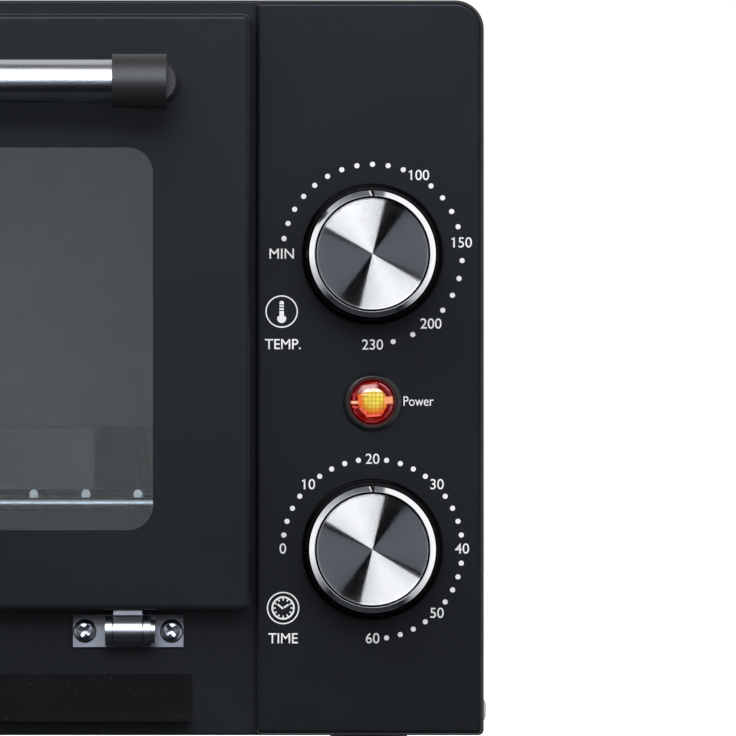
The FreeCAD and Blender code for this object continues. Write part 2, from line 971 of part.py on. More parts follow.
def make_cavity_wall(side, inner, label):
    """A side wall with three rails pressed into it; side is 1 where the cavity lies at +X of it."""
    outer = inner - side * s.cavity_gauge
    face = [(inner, base_top)]
    back = [(outer, base_top)]
    for level in rail_levels():
        for start, line, drop in ((inner, face, 0), (outer, back, s.cavity_gauge)):
            reach = start + side * s.rail_depth
            line.append((start, level - s.rail_height))
            line.append((reach, level - s.rail_flat))
            line.append((reach, level - drop))
            line.append((start, level - drop))
    face.append((inner, open_high))
    back.append((outer, open_high))
    body = new_body()
    pad(body, "front", frame_back, cavity_back, polygon, face + back[::-1])
    ends = (inner, outer) if side < 0 else (outer, inner)
    holes = [(y, z, s.bush_radius) for y in heater_y.values() for z in heater_z.values()]
    pocket(body, "side", *ends, circles, holes)
    return part(body, label)


def make_cavity_top():
    left, right = open_left - s.cavity_gauge, open_right + s.cavity_gauge
    plate = block((left, right), (frame_back, cavity_back), (open_high, open_high + s.cavity_gauge))
    return part(plate, "cavity_top")


def make_cavity_back():
    body = new_body()
    left, right = open_left - s.cavity_gauge, open_right + s.cavity_gauge
    behind = cavity_back + s.cavity_gauge
    high = open_high + s.cavity_gauge
    pad(body, "front", cavity_back, behind, rectangle, left, right, base_top, high)
    margin = s.boss_margin
    boss = [open_left + margin, open_right - margin, open_low + margin, open_high - margin]
    margin = s.boss_margin + s.cavity_gauge
    hollow = [open_left + margin, open_right - margin, open_low + margin, open_high - margin]
    pad(body, "front", behind, behind + s.boss_depth, rounded, *boss, [s.boss_round] * 4)
    pocket(
        body, "front", cavity_back, cavity_back + s.boss_depth,
        rounded, *hollow, [s.boss_round - s.cavity_gauge] * 4,
    )
    return part(body, "cavity_back")


stud_left = open_left - s.stud_reach
stud_right = open_right + s.stud_reach


def make_heater(y, z):
    """A sheathed tube with a terminal stud out of each end."""
    left = open_left - s.cavity_gauge - s.bush_reach
    right = open_right + s.cavity_gauge + s.bush_reach
    tube = rod("x", left, right, (y, z), s.heater_radius)
    return fuse(tube, rod("x", stud_left, stud_right, (y, z), s.heater_stud))


def make_heaters():
    for level, z in heater_z.items():
        part(group([make_heater(y, z) for y in heater_y.values()]), f"{level}_heaters")


def make_bushes():
    bushes = []
    bore = s.heater_radius + s.bush_clearance
    for side, wall in ((-1, open_left), (1, open_right)):
        outer = wall + side * (s.cavity_gauge + s.bush_reach)
        inner = wall - side * s.bush_collar_depth
        for z in heater_z.values():
            for y in heater_y.values():
                neck = ordered(wall, outer)
                collar = ordered(inner, wall)
                whole = ordered(inner, outer)
                ring = fuse(
                    rod("x", *neck, (y, z), s.bush_radius),
                    rod("x", *collar, (y, z), s.bush_collar),
                )
                bushes.append(cut(ring, rod("x", *whole, (y, z), bore)))
    return part(group(bushes), "heater_bushes")


def make_heater_links():
    """Strips on the left studs that join the two heaters of each level in series."""
    end = stud_left + s.link_gauge
    half = s.link_height / 2
    links = []
    for z in heater_z.values():
        length = (heater_y["front"] - half, heater_y["rear"] + half)
        strip = block((stud_left, end), length, (z - half, z + half))
        holes = [rod("x", stud_left, end, (y, z), s.heater_stud) for y in heater_y.values()]
        links.append(cut(strip, *holes))
    return part(group(links), "heater_links")


def make_heat_shield():
    """A bent sheet between the cavity and the controls, with holes for the heaters' wires."""
    depth = (frame_back, cavity_back)
    end = shield_x + s.shield_gauge
    wall = block((shield_x, end), depth, (base_top, open_high))
    foot = block((shield_x, shield_x + s.shield_foot), depth, (base_top, base_top + s.shield_gauge))
    holes = [
        rod("x", shield_x, end, (y, z), s.shield_hole)
        for y in heater_y.values()
        for z in heater_z.values()
    ]
    return part(cut(fuse(wall, foot), *holes), "heat_shield")


# Crumb tray
def make_crumb_tray():
    body = new_body()
    pan_back = cavity_back - s.crumb_behind
    wall = s.crumb_gauge
    pad(
        body, "plan", crumb_z, crumb_z + s.crumb_wall,
        rectangle, crumb_left, crumb_right, lip_back, pan_back,
    )
    pocket(
        body, "plan", crumb_z + wall, crumb_z + s.crumb_wall,
        rectangle, crumb_left + wall, crumb_right - wall, lip_back + wall, pan_back - wall,
    )
    left, right = crumb_left - s.lip_cover, crumb_right + s.lip_cover
    pad(body, "front", lip_front, lip_back, rectangle, left, right, lip_low, lip_high)
    grip_front = lip_front - s.lip_grip
    pad(
        body, "plan", lip_low, lip_low + s.lip_gauge,
        rectangle, left, right, grip_front, lip_front,
    )
    pad(
        body, "front", grip_front, grip_front + s.lip_gauge,
        rectangle, left, right, lip_low, lip_low + s.lip_turn,
    )
    return part(body, "crumb_tray")


def make_crumb_guides():
    guides = []
    floor = crumb_z - s.slide_gap
    for side, edge in ((-1, crumb_left), (1, crumb_right)):
        inner = edge - side * (s.guide_width - s.crumb_slack)
        fence = edge + side * s.crumb_slack
        outer = fence + side * s.guide_gauge
        strip = ordered(inner, outer)
        rail = ordered(fence, outer)
        guides.append(
            fuse(
                block(strip, (frame_back, cavity_back), (base_top, floor)),
                block(rail, (frame_back, cavity_back), (base_top, crumb_z + s.crumb_wall)),
            )
        )
    return part(group(guides), "crumb_guides")


# Door
def make_door_frame():
    body = new_body()
    radii = [s.door_round, s.door_inner_round, s.door_inner_round, s.door_round]
    inner = [radius - s.door_gauge for radius in radii]
    wall = s.door_gauge
    pad(
        body, "front", door_front, door_inner,
        rounded, door_left, door_right, door_low, door_high, radii,
    )
    pocket(
        body, "front", door_front + wall, door_inner,
        rounded, door_left + wall, door_right - wall, door_low + wall, door_high - wall, inner,
    )
    pocket(
        body, "front", door_front, door_front + wall,
        rounded, window_left, window_right, window_low, window_high, [s.window_round] * 4,
    )
    holes = [(x, handle_z, s.handle_screw_radius) for x in (handle_left, handle_right)]
    last = pocket(body, "front", door_front, door_front + wall, circles, holes)
    fillet(body, last, face_edges(last, "y", door_front), s.door_edge_round)
    return part(body, "door_frame")


def make_door_glass():
    body = new_body()
    lap = s.glass_lap
    pad(
        body, "front", glass_front, glass_back,
        rounded, window_left - lap, window_right + lap, window_low - lap, window_high + lap,
        [s.window_round] * 4,
    )
    return part(body, "door_glass")


def make_glass_retainer():
    """The door's inner panel, whose turned-in lip holds the glass."""
    body = new_body()
    inset, lap, wall = s.retainer_inset, s.retainer_lap, s.retainer_gauge
    hole = [window_left - lap, window_right + lap, window_low - lap, window_high + lap]
    lip = [hole[0] - wall, hole[1] + wall, hole[2] - wall, hole[3] + wall]
    pad(
        body, "front", door_inner - wall, door_inner,
        rounded, door_left + inset, door_right - inset, door_low + inset, door_high - inset,
        [s.door_inner_round] * 4,
    )
    pad(
        body, "front", glass_back, door_inner,
        rounded, *lip, [s.window_round + wall] * 4,
    )
    pocket(body, "front", glass_back, door_inner, rounded, *hole, [s.window_round] * 4)
    return part(body, "glass_retainer")


def make_handle():
    bore = s.handle_radius - s.handle_wall
    tube = cut(
        rod("x", handle_left, handle_right, (handle_y, handle_z), s.handle_radius),
        rod("x", handle_left, handle_right, (handle_y, handle_z), bore),
    )
    part(tube, "handle_bar")
    socket = s.handle_radius + s.handle_clearance
    posts = []
    for side, end in ((-1, handle_left), (1, handle_right)):
        outer = end + side * (s.post_width - s.post_socket)
        inner = end - side * s.post_socket
        cup = ordered(outer, inner)
        hollow = ordered(end, inner)
        spot = (handle_y, handle_z)
        root_radius = s.post_neck + s.handle_wall
        neck = cone("y", handle_y, door_front, (end, handle_z), s.post_neck, root_radius)
        solid = fuse(rod("x", *cup, spot, s.post_radius), neck)
        posts.append(cut(solid, rod("x", *hollow, spot, socket)))
    return part(group(posts), "handle_posts")


def make_handle_screws():
    """Screws from inside the door; the posts are moulded round their threads."""
    seat = door_front + s.door_gauge
    screws = [
        fuse(
            rod("y", seat, seat + s.screw_head_depth, (x, handle_z), s.screw_head),
            rod("y", door_front, seat, (x, handle_z), s.handle_screw_radius),
        )
        for x in (handle_left, handle_right)
    ]
    return part(group(screws), "handle_screws")


# Hinges
HINGES = ((hinge_left, -1), (hinge_right, 1))
hinge_spot = (hinge_y, hinge_z)
leaf_half = s.leaf_width / 2
ear_in = leaf_half + s.ear_gap
ear_out = ear_in + s.ear_gauge


def hinge_leaf(x):
    """The door's half of a hinge: a knuckle under a foot that is riveted to the door."""
    width = (x - leaf_half, x + leaf_half)
    stem = (hinge_y - s.pin_radius, hinge_y + s.pin_radius)
    foot = (hinge_y - s.leaf_foot, hinge_y + s.leaf_foot)
    leaf = fuse(
        rod("x", *width, hinge_spot, s.knuckle_radius),
        block(width, stem, (hinge_z, door_low)),
        block(width, foot, (door_low - s.leaf_gauge, door_low)),
    )
    return cut(leaf, rod("x", *width, hinge_spot, s.pin_radius + s.pin_clearance))


def hinge_bracket(x):
    """The frame's half of a hinge: a plate with two ears that hold the pin."""
    depth = (front - s.bracket_gauge, front)
    plate = block((x - bracket_half, x + bracket_half), depth, (bracket_low, bracket_high))
    solids = [plate]
    for turn in (-1, 1):
        ends = ordered(x + turn * ear_in, x + turn * ear_out)
        height = (hinge_z - s.knuckle_radius, hinge_z + s.knuckle_radius)
        solids.append(rod("x", *ends, hinge_spot, s.knuckle_radius))
        solids.append(block(ends, (hinge_y, depth[0]), height))
    cutters = [rod("x", x - ear_out, x + ear_out, hinge_spot, s.pin_radius)]
    for turn in (-1, 1):
        cutters.append(rod("y", *depth, (x + turn * bracket_screw, hinge_z), screw_hole))
    return cut(fuse(*solids), *cutters)


def hinge_pin(x, turn):
    """A headed pin through the ears, its head on the outer side."""
    head = ordered(x + turn * ear_out, x + turn * (ear_out + s.pin_head_depth))
    return fuse(
        rod("x", x - ear_out, x + ear_out, hinge_spot, s.pin_radius),
        rod("x", *head, hinge_spot, s.pin_head),
    )


def make_hinges():
    part(group([hinge_leaf(x) for x, turn in HINGES]), "hinge_leaves")
    part(group([hinge_bracket(x) for x, turn in HINGES]), "hinge_brackets")
    part(group([hinge_pin(x, turn) for x, turn in HINGES]), "hinge_pins")


def make_hinge_screws():
    screws = []
    for x in (hinge_left, hinge_right):
        for turn in (-1, 1):
            at = (x + turn * bracket_screw, hinge_z)
            screws.append(screw("y", front - s.bracket_gauge, at, 1))
    return part(group(screws), "hinge_screws")


spring_angle = s.arm_tail - s.spring_inset
spring_z = hinge_z + s.arm_radius * cosine(spring_angle)
spring_y = hinge_y + s.arm_radius * sine(spring_angle)
spring_start = spring_y + s.spring_eye * 2
spring_end = spring_start + s.spring_length
anchor_y = spring_end + s.spring_eye * 2


def door_arm(x):
    """A curved arm about the hinge axis, which slides through its slot as the door turns."""
    body = new_body()
    drawing = sketch(body, "front")
    rectangle(drawing, formula(0), s.arm_gauge, arm_low, arm_high)
    sweep = body.newObject("PartDesign::Revolution", "sweep")
    sweep.Profile = drawing
    sweep.ReferenceAxis = (drawing, ["H_Axis"])
    bind(sweep, "Angle", s.arm_sweep)
    body.Tip = sweep
    body.Placement = FreeCAD.Placement(V(), FreeCAD.Rotation(V(1, 0, 0), -1))
    bind(body, "Placement.Rotation.Angle", -s.arm_tail)
    place(body, x, hinge_y, hinge_z)
    return cut(body, rod("x", x, x + s.arm_gauge, (spring_y, spring_z), s.spring_hole))


def door_spring(x):
    """A close-wound tension spring: its coil as a bar, with an eye at each end."""
    middle = x + s.arm_gauge / 2
    coil = rod("y", spring_start, spring_end, (middle, spring_z), s.spring_radius)
    eyes = []
    for y in (spring_start - s.spring_eye, spring_end + s.spring_eye):
        eye = doc.addObject("Part::Torus", "eye")
        bind(eye, "Radius1", s.spring_eye)
        bind(eye, "Radius2", s.spring_wire)
        place(eye, middle, y, spring_z)
        eyes.append(eye)
    return fuse(coil, *eyes)


def spring_anchor(x):
    """A post on the base plate, which stands in the spring's rear eye."""
    y = anchor_y - s.spring_wire - s.anchor_radius - s.spring_slack
    spot = (x + s.arm_gauge / 2, y)
    return fuse(
        rod("z", base_top, spring_z + s.spring_radius, spot, s.anchor_radius),
        rod("z", base_top, base_top + s.anchor_foot_height, spot, s.anchor_foot),
    )


def make_door_springs():
    xs = (arm_left, arm_right)
    part(group([door_arm(x) for x in xs]), "door_arms")
    part(group([door_spring(x) for x in xs]), "door_springs")
    part(group([spring_anchor(x) for x in xs]), "spring_anchors")


# Control panel
def make_control_panel():
    body = new_body()
    radii = [s.panel_inner_round] * 4
    radii[2] = s.corner_round - s.panel_inset
    wall = s.panel_gauge
    inner = [radius - wall for radius in radii]
    pad(
        body, "front", panel_front, front,
        rounded, panel_left, panel_right, panel_low, panel_high, radii,
    )
    pocket(
        body, "front", panel_front + wall, front,
        rounded, panel_left + wall, panel_right - wall, panel_low + wall, panel_high - wall, inner,
    )
    holes = [(knob_x, z, s.panel_hole) for z in (timer_z, thermostat_z)]
    holes.append((knob_x, lamp_z, s.holder_radius + s.lamp_clearance))
    last = pocket(body, "front", panel_front, panel_front + wall, circles, holes)
    fillet(body, last, face_edges(last, "y", panel_front), s.panel_edge_round)
    return part(body, "control_panel")


# Knobs
def make_knob(name, z):
    """Skirt, rim and cap, turned about the shaft; the outlines run forward from the panel."""
    h = s.skirt_height
    under_top = s.skirt_top - s.skirt_wall
    skirt = new_body()
    outline = [
        (0, s.skirt_radius - s.skirt_wall), (0, s.skirt_radius - s.skirt_break),
        (-s.skirt_break, s.skirt_radius), (-s.skirt_band, s.skirt_radius),
        (-s.skirt_band - s.skirt_break, s.skirt_neck), (-h, s.skirt_top), (-h, s.seat_radius),
        (-s.seat_height, s.seat_radius), (-s.seat_height, 0), (-s.hub_start, 0),
        (-s.hub_start, s.hub_radius), (-s.hub_floor, s.hub_radius), (-s.hub_floor, under_top),
    ]
    turned(skirt, "side", outline, "H_Axis")
    bore = s.shaft_radius + s.shaft_clearance
    flat = s.shaft_flat + s.shaft_clearance
    chord = root(bore * bore - flat * flat)
    grip = -s.hub_start - s.shaft_grip - s.shaft_clearance
    pocket(skirt, "front", grip, -s.hub_start, d_outline, bore, flat, chord)
    place(skirt, knob_x, knob_back, z)
    part(skirt, f"{name}_knob_skirt")
    rim = new_body()
    outline = [
        (-h, s.rim_inner), (-h, s.rim_radius), (s.rim_bevel - s.rim_height, s.rim_radius),
        (-s.rim_height, s.rim_radius - s.rim_bevel), (-s.rim_height, s.rim_inner + s.rim_break),
        (s.rim_break - s.rim_height, s.rim_inner),
    ]
    turned(rim, "side", outline, "H_Axis")
    pocket(
        rim, "front", -s.rim_height, s.notch_depth - s.rim_height,
        rectangle, -s.notch_width / 2, s.notch_width / 2, s.rim_inner - s.notch_depth,
        s.rim_radius + s.notch_depth,
    )
    place(rim, knob_x, knob_back, z)
    part(rim, f"{name}_knob_rim")
    cap = new_body()
    foot = s.seat_height
    face = s.seat_height + s.cap_height
    outline = [
        (-foot, 0), (-foot, s.cap_radius), (s.cap_bevel - face, s.cap_radius),
        (-face, s.cap_radius - s.cap_bevel), (-face, 0),
    ]
    turned(cap, "side", outline, "H_Axis")
    place(cap, knob_x, knob_back, z)
    part(cap, f"{name}_knob_cap")


def d_outline(drawing, radius, flat, chord):
    """A circle with its top cut off flat: the arc runs below the chord."""
    start = math.atan2(flat.value, -chord.value)
    end = math.atan2(flat.value, chord.value) + 2 * math.pi
    ring = Part.Circle(V(), V(0, 0, 1), radius.value)
    arc = drawing.addGeometry(Part.ArcOfCircle(ring, start, end), False)
    ends = V(chord.value, flat.value, 0), V(-chord.value, flat.value, 0)
    line = drawing.addGeometry(Part.LineSegment(*ends), False)
    drawing.addConstraint(Sketcher.Constraint("Coincident", arc, 3, -1, 1))
    drawing.addConstraint(Sketcher.Constraint("Coincident", arc, 2, line, 1))
    drawing.addConstraint(Sketcher.Constraint("Coincident", arc, 1, line, 2))
    drawing.addConstraint(Sketcher.Constraint("Horizontal", line))
    set_radius(drawing, arc, radius)
    pin(drawing, line, 1, y=flat)


def make_shaft(name, z):
    """A round shaft with a flat at its front end, which keys the knob."""
    tip = knob_back - s.hub_start - s.shaft_grip
    tail = frame_back + s.strap_gauge + s.bearing_depth - s.shaft_end_gap
    spot = (knob_x, z)
    flat_end = tip + s.shaft_grip
    key = block(
        (knob_x - s.shaft_radius, knob_x + s.shaft_radius), (tip, flat_end),
        (z + s.shaft_flat, z + s.shaft_radius),
    )
    part(cut(rod("y", tip, tail, spot, s.shaft_radius), key), f"{name}_shaft")


# Controls behind the panel
def control_housing(z, width, height, depth):
    """A housing on a strap that is screwed to the frame, with a neck that bears the shaft."""
    seat = frame_back + s.strap_gauge
    spot = (knob_x, z)
    box = block(
        (knob_x - width / 2, knob_x + width / 2), (seat, seat + depth),
        (z - height / 2, z + height / 2),
    )
    neck = rod("y", front - s.neck_reach, seat, spot, s.neck_radius)
    bore = s.shaft_radius + s.shaft_clearance
    bearing = rod("y", front - s.neck_reach, seat + s.bearing_depth, spot, bore)
    return cut(fuse(box, neck), bearing)


def control_strap(z):
    neck_hole = s.neck_radius
    strap = block(
        (knob_x - s.strap_half, knob_x + s.strap_half), (frame_back, frame_back + s.strap_gauge),
        (z - s.strap_height, z + s.strap_height),
    )
    holes = [rod("y", frame_back, frame_back + s.strap_gauge, (knob_x, z), neck_hole)]
    for turn in (-1, 1):
        at = (knob_x + turn * strap_screws, z)
        holes.append(rod("y", frame_back, frame_back + s.strap_gauge, at, screw_hole))
    return cut(strap, *holes)


def make_controls():
    body = control_housing(thermostat_z, s.thermostat_width, s.thermostat_height, s.thermostat_depth)
    part(body, "thermostat_body")
    part(group([control_strap(z) for z in (timer_z, thermostat_z)]), "control_straps")
    case = control_housing(timer_z, s.timer_width, s.timer_height, s.timer_depth)
    wells = []
    for turn in (-1, 1):
        at = (knob_x + turn * strap_screws, timer_z)
        wells.append(rod("y", frame_back, frame_back + s.screw_length, at, screw_hole))
    part(cut(case, *wells), "timer_case")
    for name, z in (("thermostat", thermostat_z), ("timer", timer_z)):
        make_shaft(name, z)
    screws = []
    for z in (timer_z, thermostat_z):
        for turn in (-1, 1):
            at = (knob_x + turn * strap_screws, z)
            screws.append(screw("y", front, at, 1))
    part(group(screws), "control_screws")


timer_back = frame_back + s.strap_gauge + s.timer_depth


def make_bell():
    """The timer's bell: a cup on a screw behind the case, with its hammer beside it."""
    bell = new_body()
    r, h, wall = s.bell_radius, s.bell_height, s.bell_gauge
    hole = s.screw_shank + s.screw_clearance
    outline = [
        (h, hole), (h, s.bell_crown), (s.bell_shoulder, r), (0, r), (0, r - wall),
        (s.bell_shoulder - wall / 2, r - wall), (h - wall, s.bell_crown - wall / 2), (h - wall, hole),
    ]
    turned(bell, "side", outline, "H_Axis")
    place(bell, knob_x, timer_back + s.bell_gap, timer_z)
    part(bell, "timer_bell")
    seat = timer_back + s.bell_gap + h
    post = fuse(
        rod("y", timer_back, seat, (knob_x, timer_z), s.screw_shank),
        rod("y", seat, seat + s.screw_head_depth, (knob_x, timer_z), s.screw_head),
    )
    part(post, "bell_screw")
    low = timer_z - s.timer_height / 2
    arm = block(
        (knob_x - s.hammer_width / 2, knob_x + s.hammer_width / 2),
        (timer_back, timer_back + s.bell_gap + h / 2), (low, low + s.hammer_gauge),
    )
    part(arm, "bell_hammer")


def make_lamp():
    """The lens on its holder behind a bezel, the bulb in the holder and the clip round it."""
    r, wall = s.lens_radius, s.lens_wall
    lens_back = panel_front - s.lens_stand
    lens = new_body()
    outline = [
        (0, r), (-s.lens_shoulder_rise, s.lens_shoulder), (-s.lens_crown_rise, s.lens_crown),
        (-s.lens_rise, 0), (wall - s.lens_rise, 0),
        (wall - s.lens_crown_rise, s.lens_crown - wall / 2),
        (wall / 2 - s.lens_shoulder_rise, s.lens_shoulder - wall), (0, r - wall),
    ]
    turned(lens, "side", outline, "H_Axis")
    place(lens, knob_x, lens_back, lamp_z)
    part(lens, "lamp_lens")
    spot = (knob_x, lamp_z)
    back = panel_front + s.holder_length
    bezel = new_body()
    hole = r + s.lamp_clearance
    outline = [
        (0, hole), (0, s.bezel_radius), (s.bezel_break - s.bezel_height, s.bezel_radius),
        (-s.bezel_height, s.bezel_radius - s.bezel_break), (-s.bezel_height, hole),
    ]
    turned(bezel, "side", outline, "H_Axis")
    place(bezel, knob_x, panel_front, lamp_z)
    part(bezel, "lamp_bezel")
    holder = cut(
        rod("y", lens_back, back, spot, s.holder_radius),
        rod("y", lens_back, back - s.holder_wall, spot, s.holder_radius - s.holder_wall),
    )
    part(holder, "lamp_holder")
    neon_front = back - s.holder_wall - s.neon_length
    part(rod("y", neon_front, back - s.holder_wall, spot, s.neon_radius), "neon_bulb")
    clip_front = panel_front + s.panel_gauge
    clip = cut(
        rod("y", clip_front, clip_front + s.clip_gauge, spot, s.clip_radius),
        rod("y", clip_front, clip_front + s.clip_gauge, spot, s.holder_radius),
    )
    part(clip, "lamp_clip")


# Rack and baking tray
rack_left = open_left + s.rack_play + s.rack_bar
rack_right = open_right - s.rack_play - s.rack_bar
rack_front = frame_back + s.rack_end_gap + s.rack_bar
rack_back = cavity_back - s.rack_end_gap - s.rack_bar
rack_z = rack_rail + s.rack_lift + s.rack_bar
wire_z = rack_z + s.rack_bar + s.rack_wire - s.rack_sink


def corner_bend(x, y, turn, bend):
    """A quarter ring of the rack's bar round a corner's centre."""
    ring = doc.addObject("Part::Torus", "bend")
    bind(ring, "Radius1", bend)
    bind(ring, "Radius2", s.rack_bar)
    ring.Angle3 = 90
    ring.Placement = FreeCAD.Placement(V(), FreeCAD.Rotation(V(0, 0, 1), turn))
    place(ring, x, y, rack_z)
    return ring


def make_wire_rack():
    bend = s.rack_corner
    inner_x = (rack_left + bend, rack_right - bend)
    inner_y = (rack_front + bend, rack_back - bend)
    bars = [rod("x", *inner_x, (y, rack_z), s.rack_bar) for y in (rack_front, rack_back)]
    bars += [rod("y", *inner_y, (x, rack_z), s.rack_bar) for x in (rack_left, rack_right)]
    bars += [
        corner_bend(inner_x[0], inner_y[0], 180, bend), corner_bend(inner_x[1], inner_y[0], 270, bend),
        corner_bend(inner_x[1], inner_y[1], 0, bend), corner_bend(inner_x[0], inner_y[1], 90, bend),
    ]
    pitch = (rack_right - rack_left) / (s.rack_wires + 1)
    for number in range(int(s.rack_wires.value)):
        x = rack_left + pitch * (number + 1)
        bars.append(rod("y", rack_front, rack_back, (x, wire_z), s.rack_wire))
    return part(fuse(*bars), "wire_rack")


def make_baking_tray():
    body = new_body()
    floor = wire_z + s.rack_wire
    x = (open_left + s.tray_side, open_right - s.tray_side)
    y = (rack_front + s.tray_end, rack_back - s.tray_end)
    wall, rim = s.tray_gauge, s.tray_rim
    high = floor + s.tray_height
    pad(body, "plan", floor, high, rounded, *x, *y, [s.tray_round] * 4)
    pad(
        body, "plan", high - wall, high,
        rounded, x[0] - rim, x[1] + rim, y[0] - rim, y[1] + rim, [s.tray_round + rim] * 4,
    )
    pocket(
        body, "plan", floor + wall, high,
        rounded, x[0] + wall, x[1] - wall, y[0] + wall, y[1] - wall, [s.tray_round - wall] * 4,
    )
    return part(body, "baking_tray")


# Terminals and cord inlet
block_y = heater_y["rear"] + s.block_behind_heater


def make_terminals():
    y = (block_y, block_y + s.block_depth)
    x = (knob_x - s.block_width / 2, knob_x + s.block_width / 2)
    high = base_top + s.block_height
    cutters = []
    for step in (-1, 0, 1):
        for spot_y in (y[0] + s.block_depth / 4, y[1] - s.block_depth / 4):
            at = (knob_x + step * s.block_width / 3, spot_y)
            cutters.append(rod("z", base_top + s.block_height / 2, high, at, s.block_screw_radius))
    part(cut(block(x, y, (base_top, high)), *cutters), "terminal_block")
    z = base_top + s.gland_rise
    spot = (knob_x, z)
    inside = rear - s.rear_gauge
    end = rear + s.gland_flange_depth
    start = inside - s.gland_nut_depth
    gland = fuse(
        rod("y", rear, end, spot, s.gland_flange),
        rod("y", start, rear, spot, s.gland_neck),
    )
    part(cut(gland, rod("y", start, end, spot, s.gland_bore)), "cord_gland")
    nut = cut(
        rod("y", start, inside, spot, s.gland_nut),
        rod("y", start, inside, spot, s.gland_neck),
    )
    part(nut, "gland_nut")
    at = (knob_x - s.earth_aside, rear - s.earth_from_rear)
    earth = fuse(
        rod("z", base_top, base_top + s.screw_length, at, s.screw_shank),
        rod("z", base_top + s.screw_head_depth, base_top + s.screw_head_depth * 2, at, s.screw_head),
    )
    part(earth, "earth_screw")


# Wiring
def tube_along(points, radius, bend):
    """A wire along straight runs that are joined by tangent arcs."""
    edges = []
    start = points[0]
    for before, corner, after in zip(points, points[1:], points[2:]):
        into = (corner - before).normalize()
        out = (after - corner).normalize()
        turn = into.getAngle(out)
        trim = bend * math.tan(turn / 2)
        first = corner - into * trim
        last = corner + out * trim
        inward = (out - into).normalize()
        centre = corner + inward * (bend / math.cos(turn / 2))
        middle = centre - inward * bend
        edges.append(Part.LineSegment(start, first).toShape())
        edges.append(Part.Arc(first, middle, last).toShape())
        start = last
    edges.append(Part.LineSegment(start, points[-1]).toShape())
    section = Part.Wire([Part.Circle(points[0], points[1] - points[0], radius).toShape()])
    path = Part.Wire(edges)
    return path.makePipeShell([section], True, False, 2)


def make_wiring():
    """Leads from the terminal block to the thermostat, timer, lamp and heaters."""
    row = (block_y + s.block_depth / 4, block_y + s.block_depth * 3 / 4)
    well = base_top + s.block_height / 2
    left, right = knob_x - s.block_width / 3, knob_x + s.block_width / 3
    thermostat_back = frame_back + s.strap_gauge + s.thermostat_depth
    lamp_back = panel_front + s.holder_length
    timer_side = knob_x - s.timer_width / 2 + s.wire_aside
    timer_top = timer_z + s.timer_height / 2
    lead_z = timer_top - s.wire_below
    lamp_turn = lamp_back + s.wire_bend + s.wire_radius
    near, far = heater_y["front"], heater_y["rear"]
    high, low = heater_z["upper"], heater_z["lower"]
    feed = thermostat_z - s.thermostat_height / 4
    routes = [
        [
            (knob_x, row[1], well), (knob_x, row[1], thermostat_z),
            (knob_x, thermostat_back, thermostat_z),
        ],
        [
            (right, thermostat_back, feed), (right, thermostat_back + s.wire_loop, feed),
            (right, thermostat_back + s.wire_loop, lead_z), (right, timer_back, lead_z),
        ],
        [
            (timer_side, timer_back, lead_z), (timer_side, near, lead_z),
            (timer_side, near, high), (stud_right, near, high),
        ],
        [(timer_side, timer_back, low), (timer_side, near, low), (stud_right, near, low)],
        [(left, row[1], well), (left, row[1], high), (left, far, high), (stud_right, far, high)],
        [(left, row[0], well), (left, row[0], low), (left, far, low), (stud_right, far, low)],
        [(knob_x, lamp_back, lamp_z), (knob_x, lamp_turn, lamp_z), (knob_x, lamp_turn, timer_top)],
    ]
    leads = []
    for route in routes:
        points = [V(*(amount.value for amount in spot)) for spot in route]
        leads.append(tube_along(points, s.wire_radius.value, s.wire_bend.value))
    harness = doc.addObject("Part::Feature", "harness")
    harness.Shape = Part.makeCompound(leads)
    return part(harness, "wiring")


make_front_frame()
make_control_panel()
make_outer_cover()
make_rear_cover()
make_base_plate()
make_feet()
make_rear_spacers()
make_cover_screws()
make_cavity_wall(1, open_left, "cavity_left_wall")
make_cavity_wall(-1, open_right, "cavity_right_wall")
make_cavity_top()
make_cavity_back()
make_heaters()
make_bushes()
make_heater_links()
make_heat_shield()
make_crumb_tray()
make_crumb_guides()
make_door_frame()
make_door_glass()
make_glass_retainer()
make_handle()
make_handle_screws()
make_hinges()
make_hinge_screws()
make_door_springs()
for knob_name, knob_z in (("temperature", thermostat_z), ("timer", timer_z)):
    make_knob(knob_name, knob_z)
make_controls()
make_bell()
make_lamp()
make_wire_rack()
make_baking_tray()
make_terminals()
make_wiring()
doc.recompute()


# Checks and files
def check_document():
    """Every object has to be up to date, and each cut has to have taken something away."""
    for item in doc.Objects:
        if {"Invalid", "Error"} & set(item.State):
            raise RuntimeError(f"{item.Name} of {item.Label} failed: {item.State}")
        if item.TypeId == "PartDesign::Pocket":
            before = item.BaseFeature.Shape.Volume
            if item.Shape.Volume >= before - 1e-6:
                raise RuntimeError(f"{item.Name} cuts nothing")


def write_parts():
    os.makedirs("parts", exist_ok=True)
    for item in PARTS:
        shape = item.Shape
        if shape.isNull() or not shape.isValid():
            raise RuntimeError(f"{item.Label} has no valid shape")
        shape.exportStep(f"parts/{item.Label}.step")


check_document()
write_parts()
print(len(PARTS), "sub-parts")
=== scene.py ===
"""The looks of a mini oven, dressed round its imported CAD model.

Laid out as a Blender add-on and run as a script: property groups hold the sizes and colours, one
operator makes each piece or group of like pieces, and a panel lists them. Metres, +Z up, the front
faces -Y.
"""
import json
import math

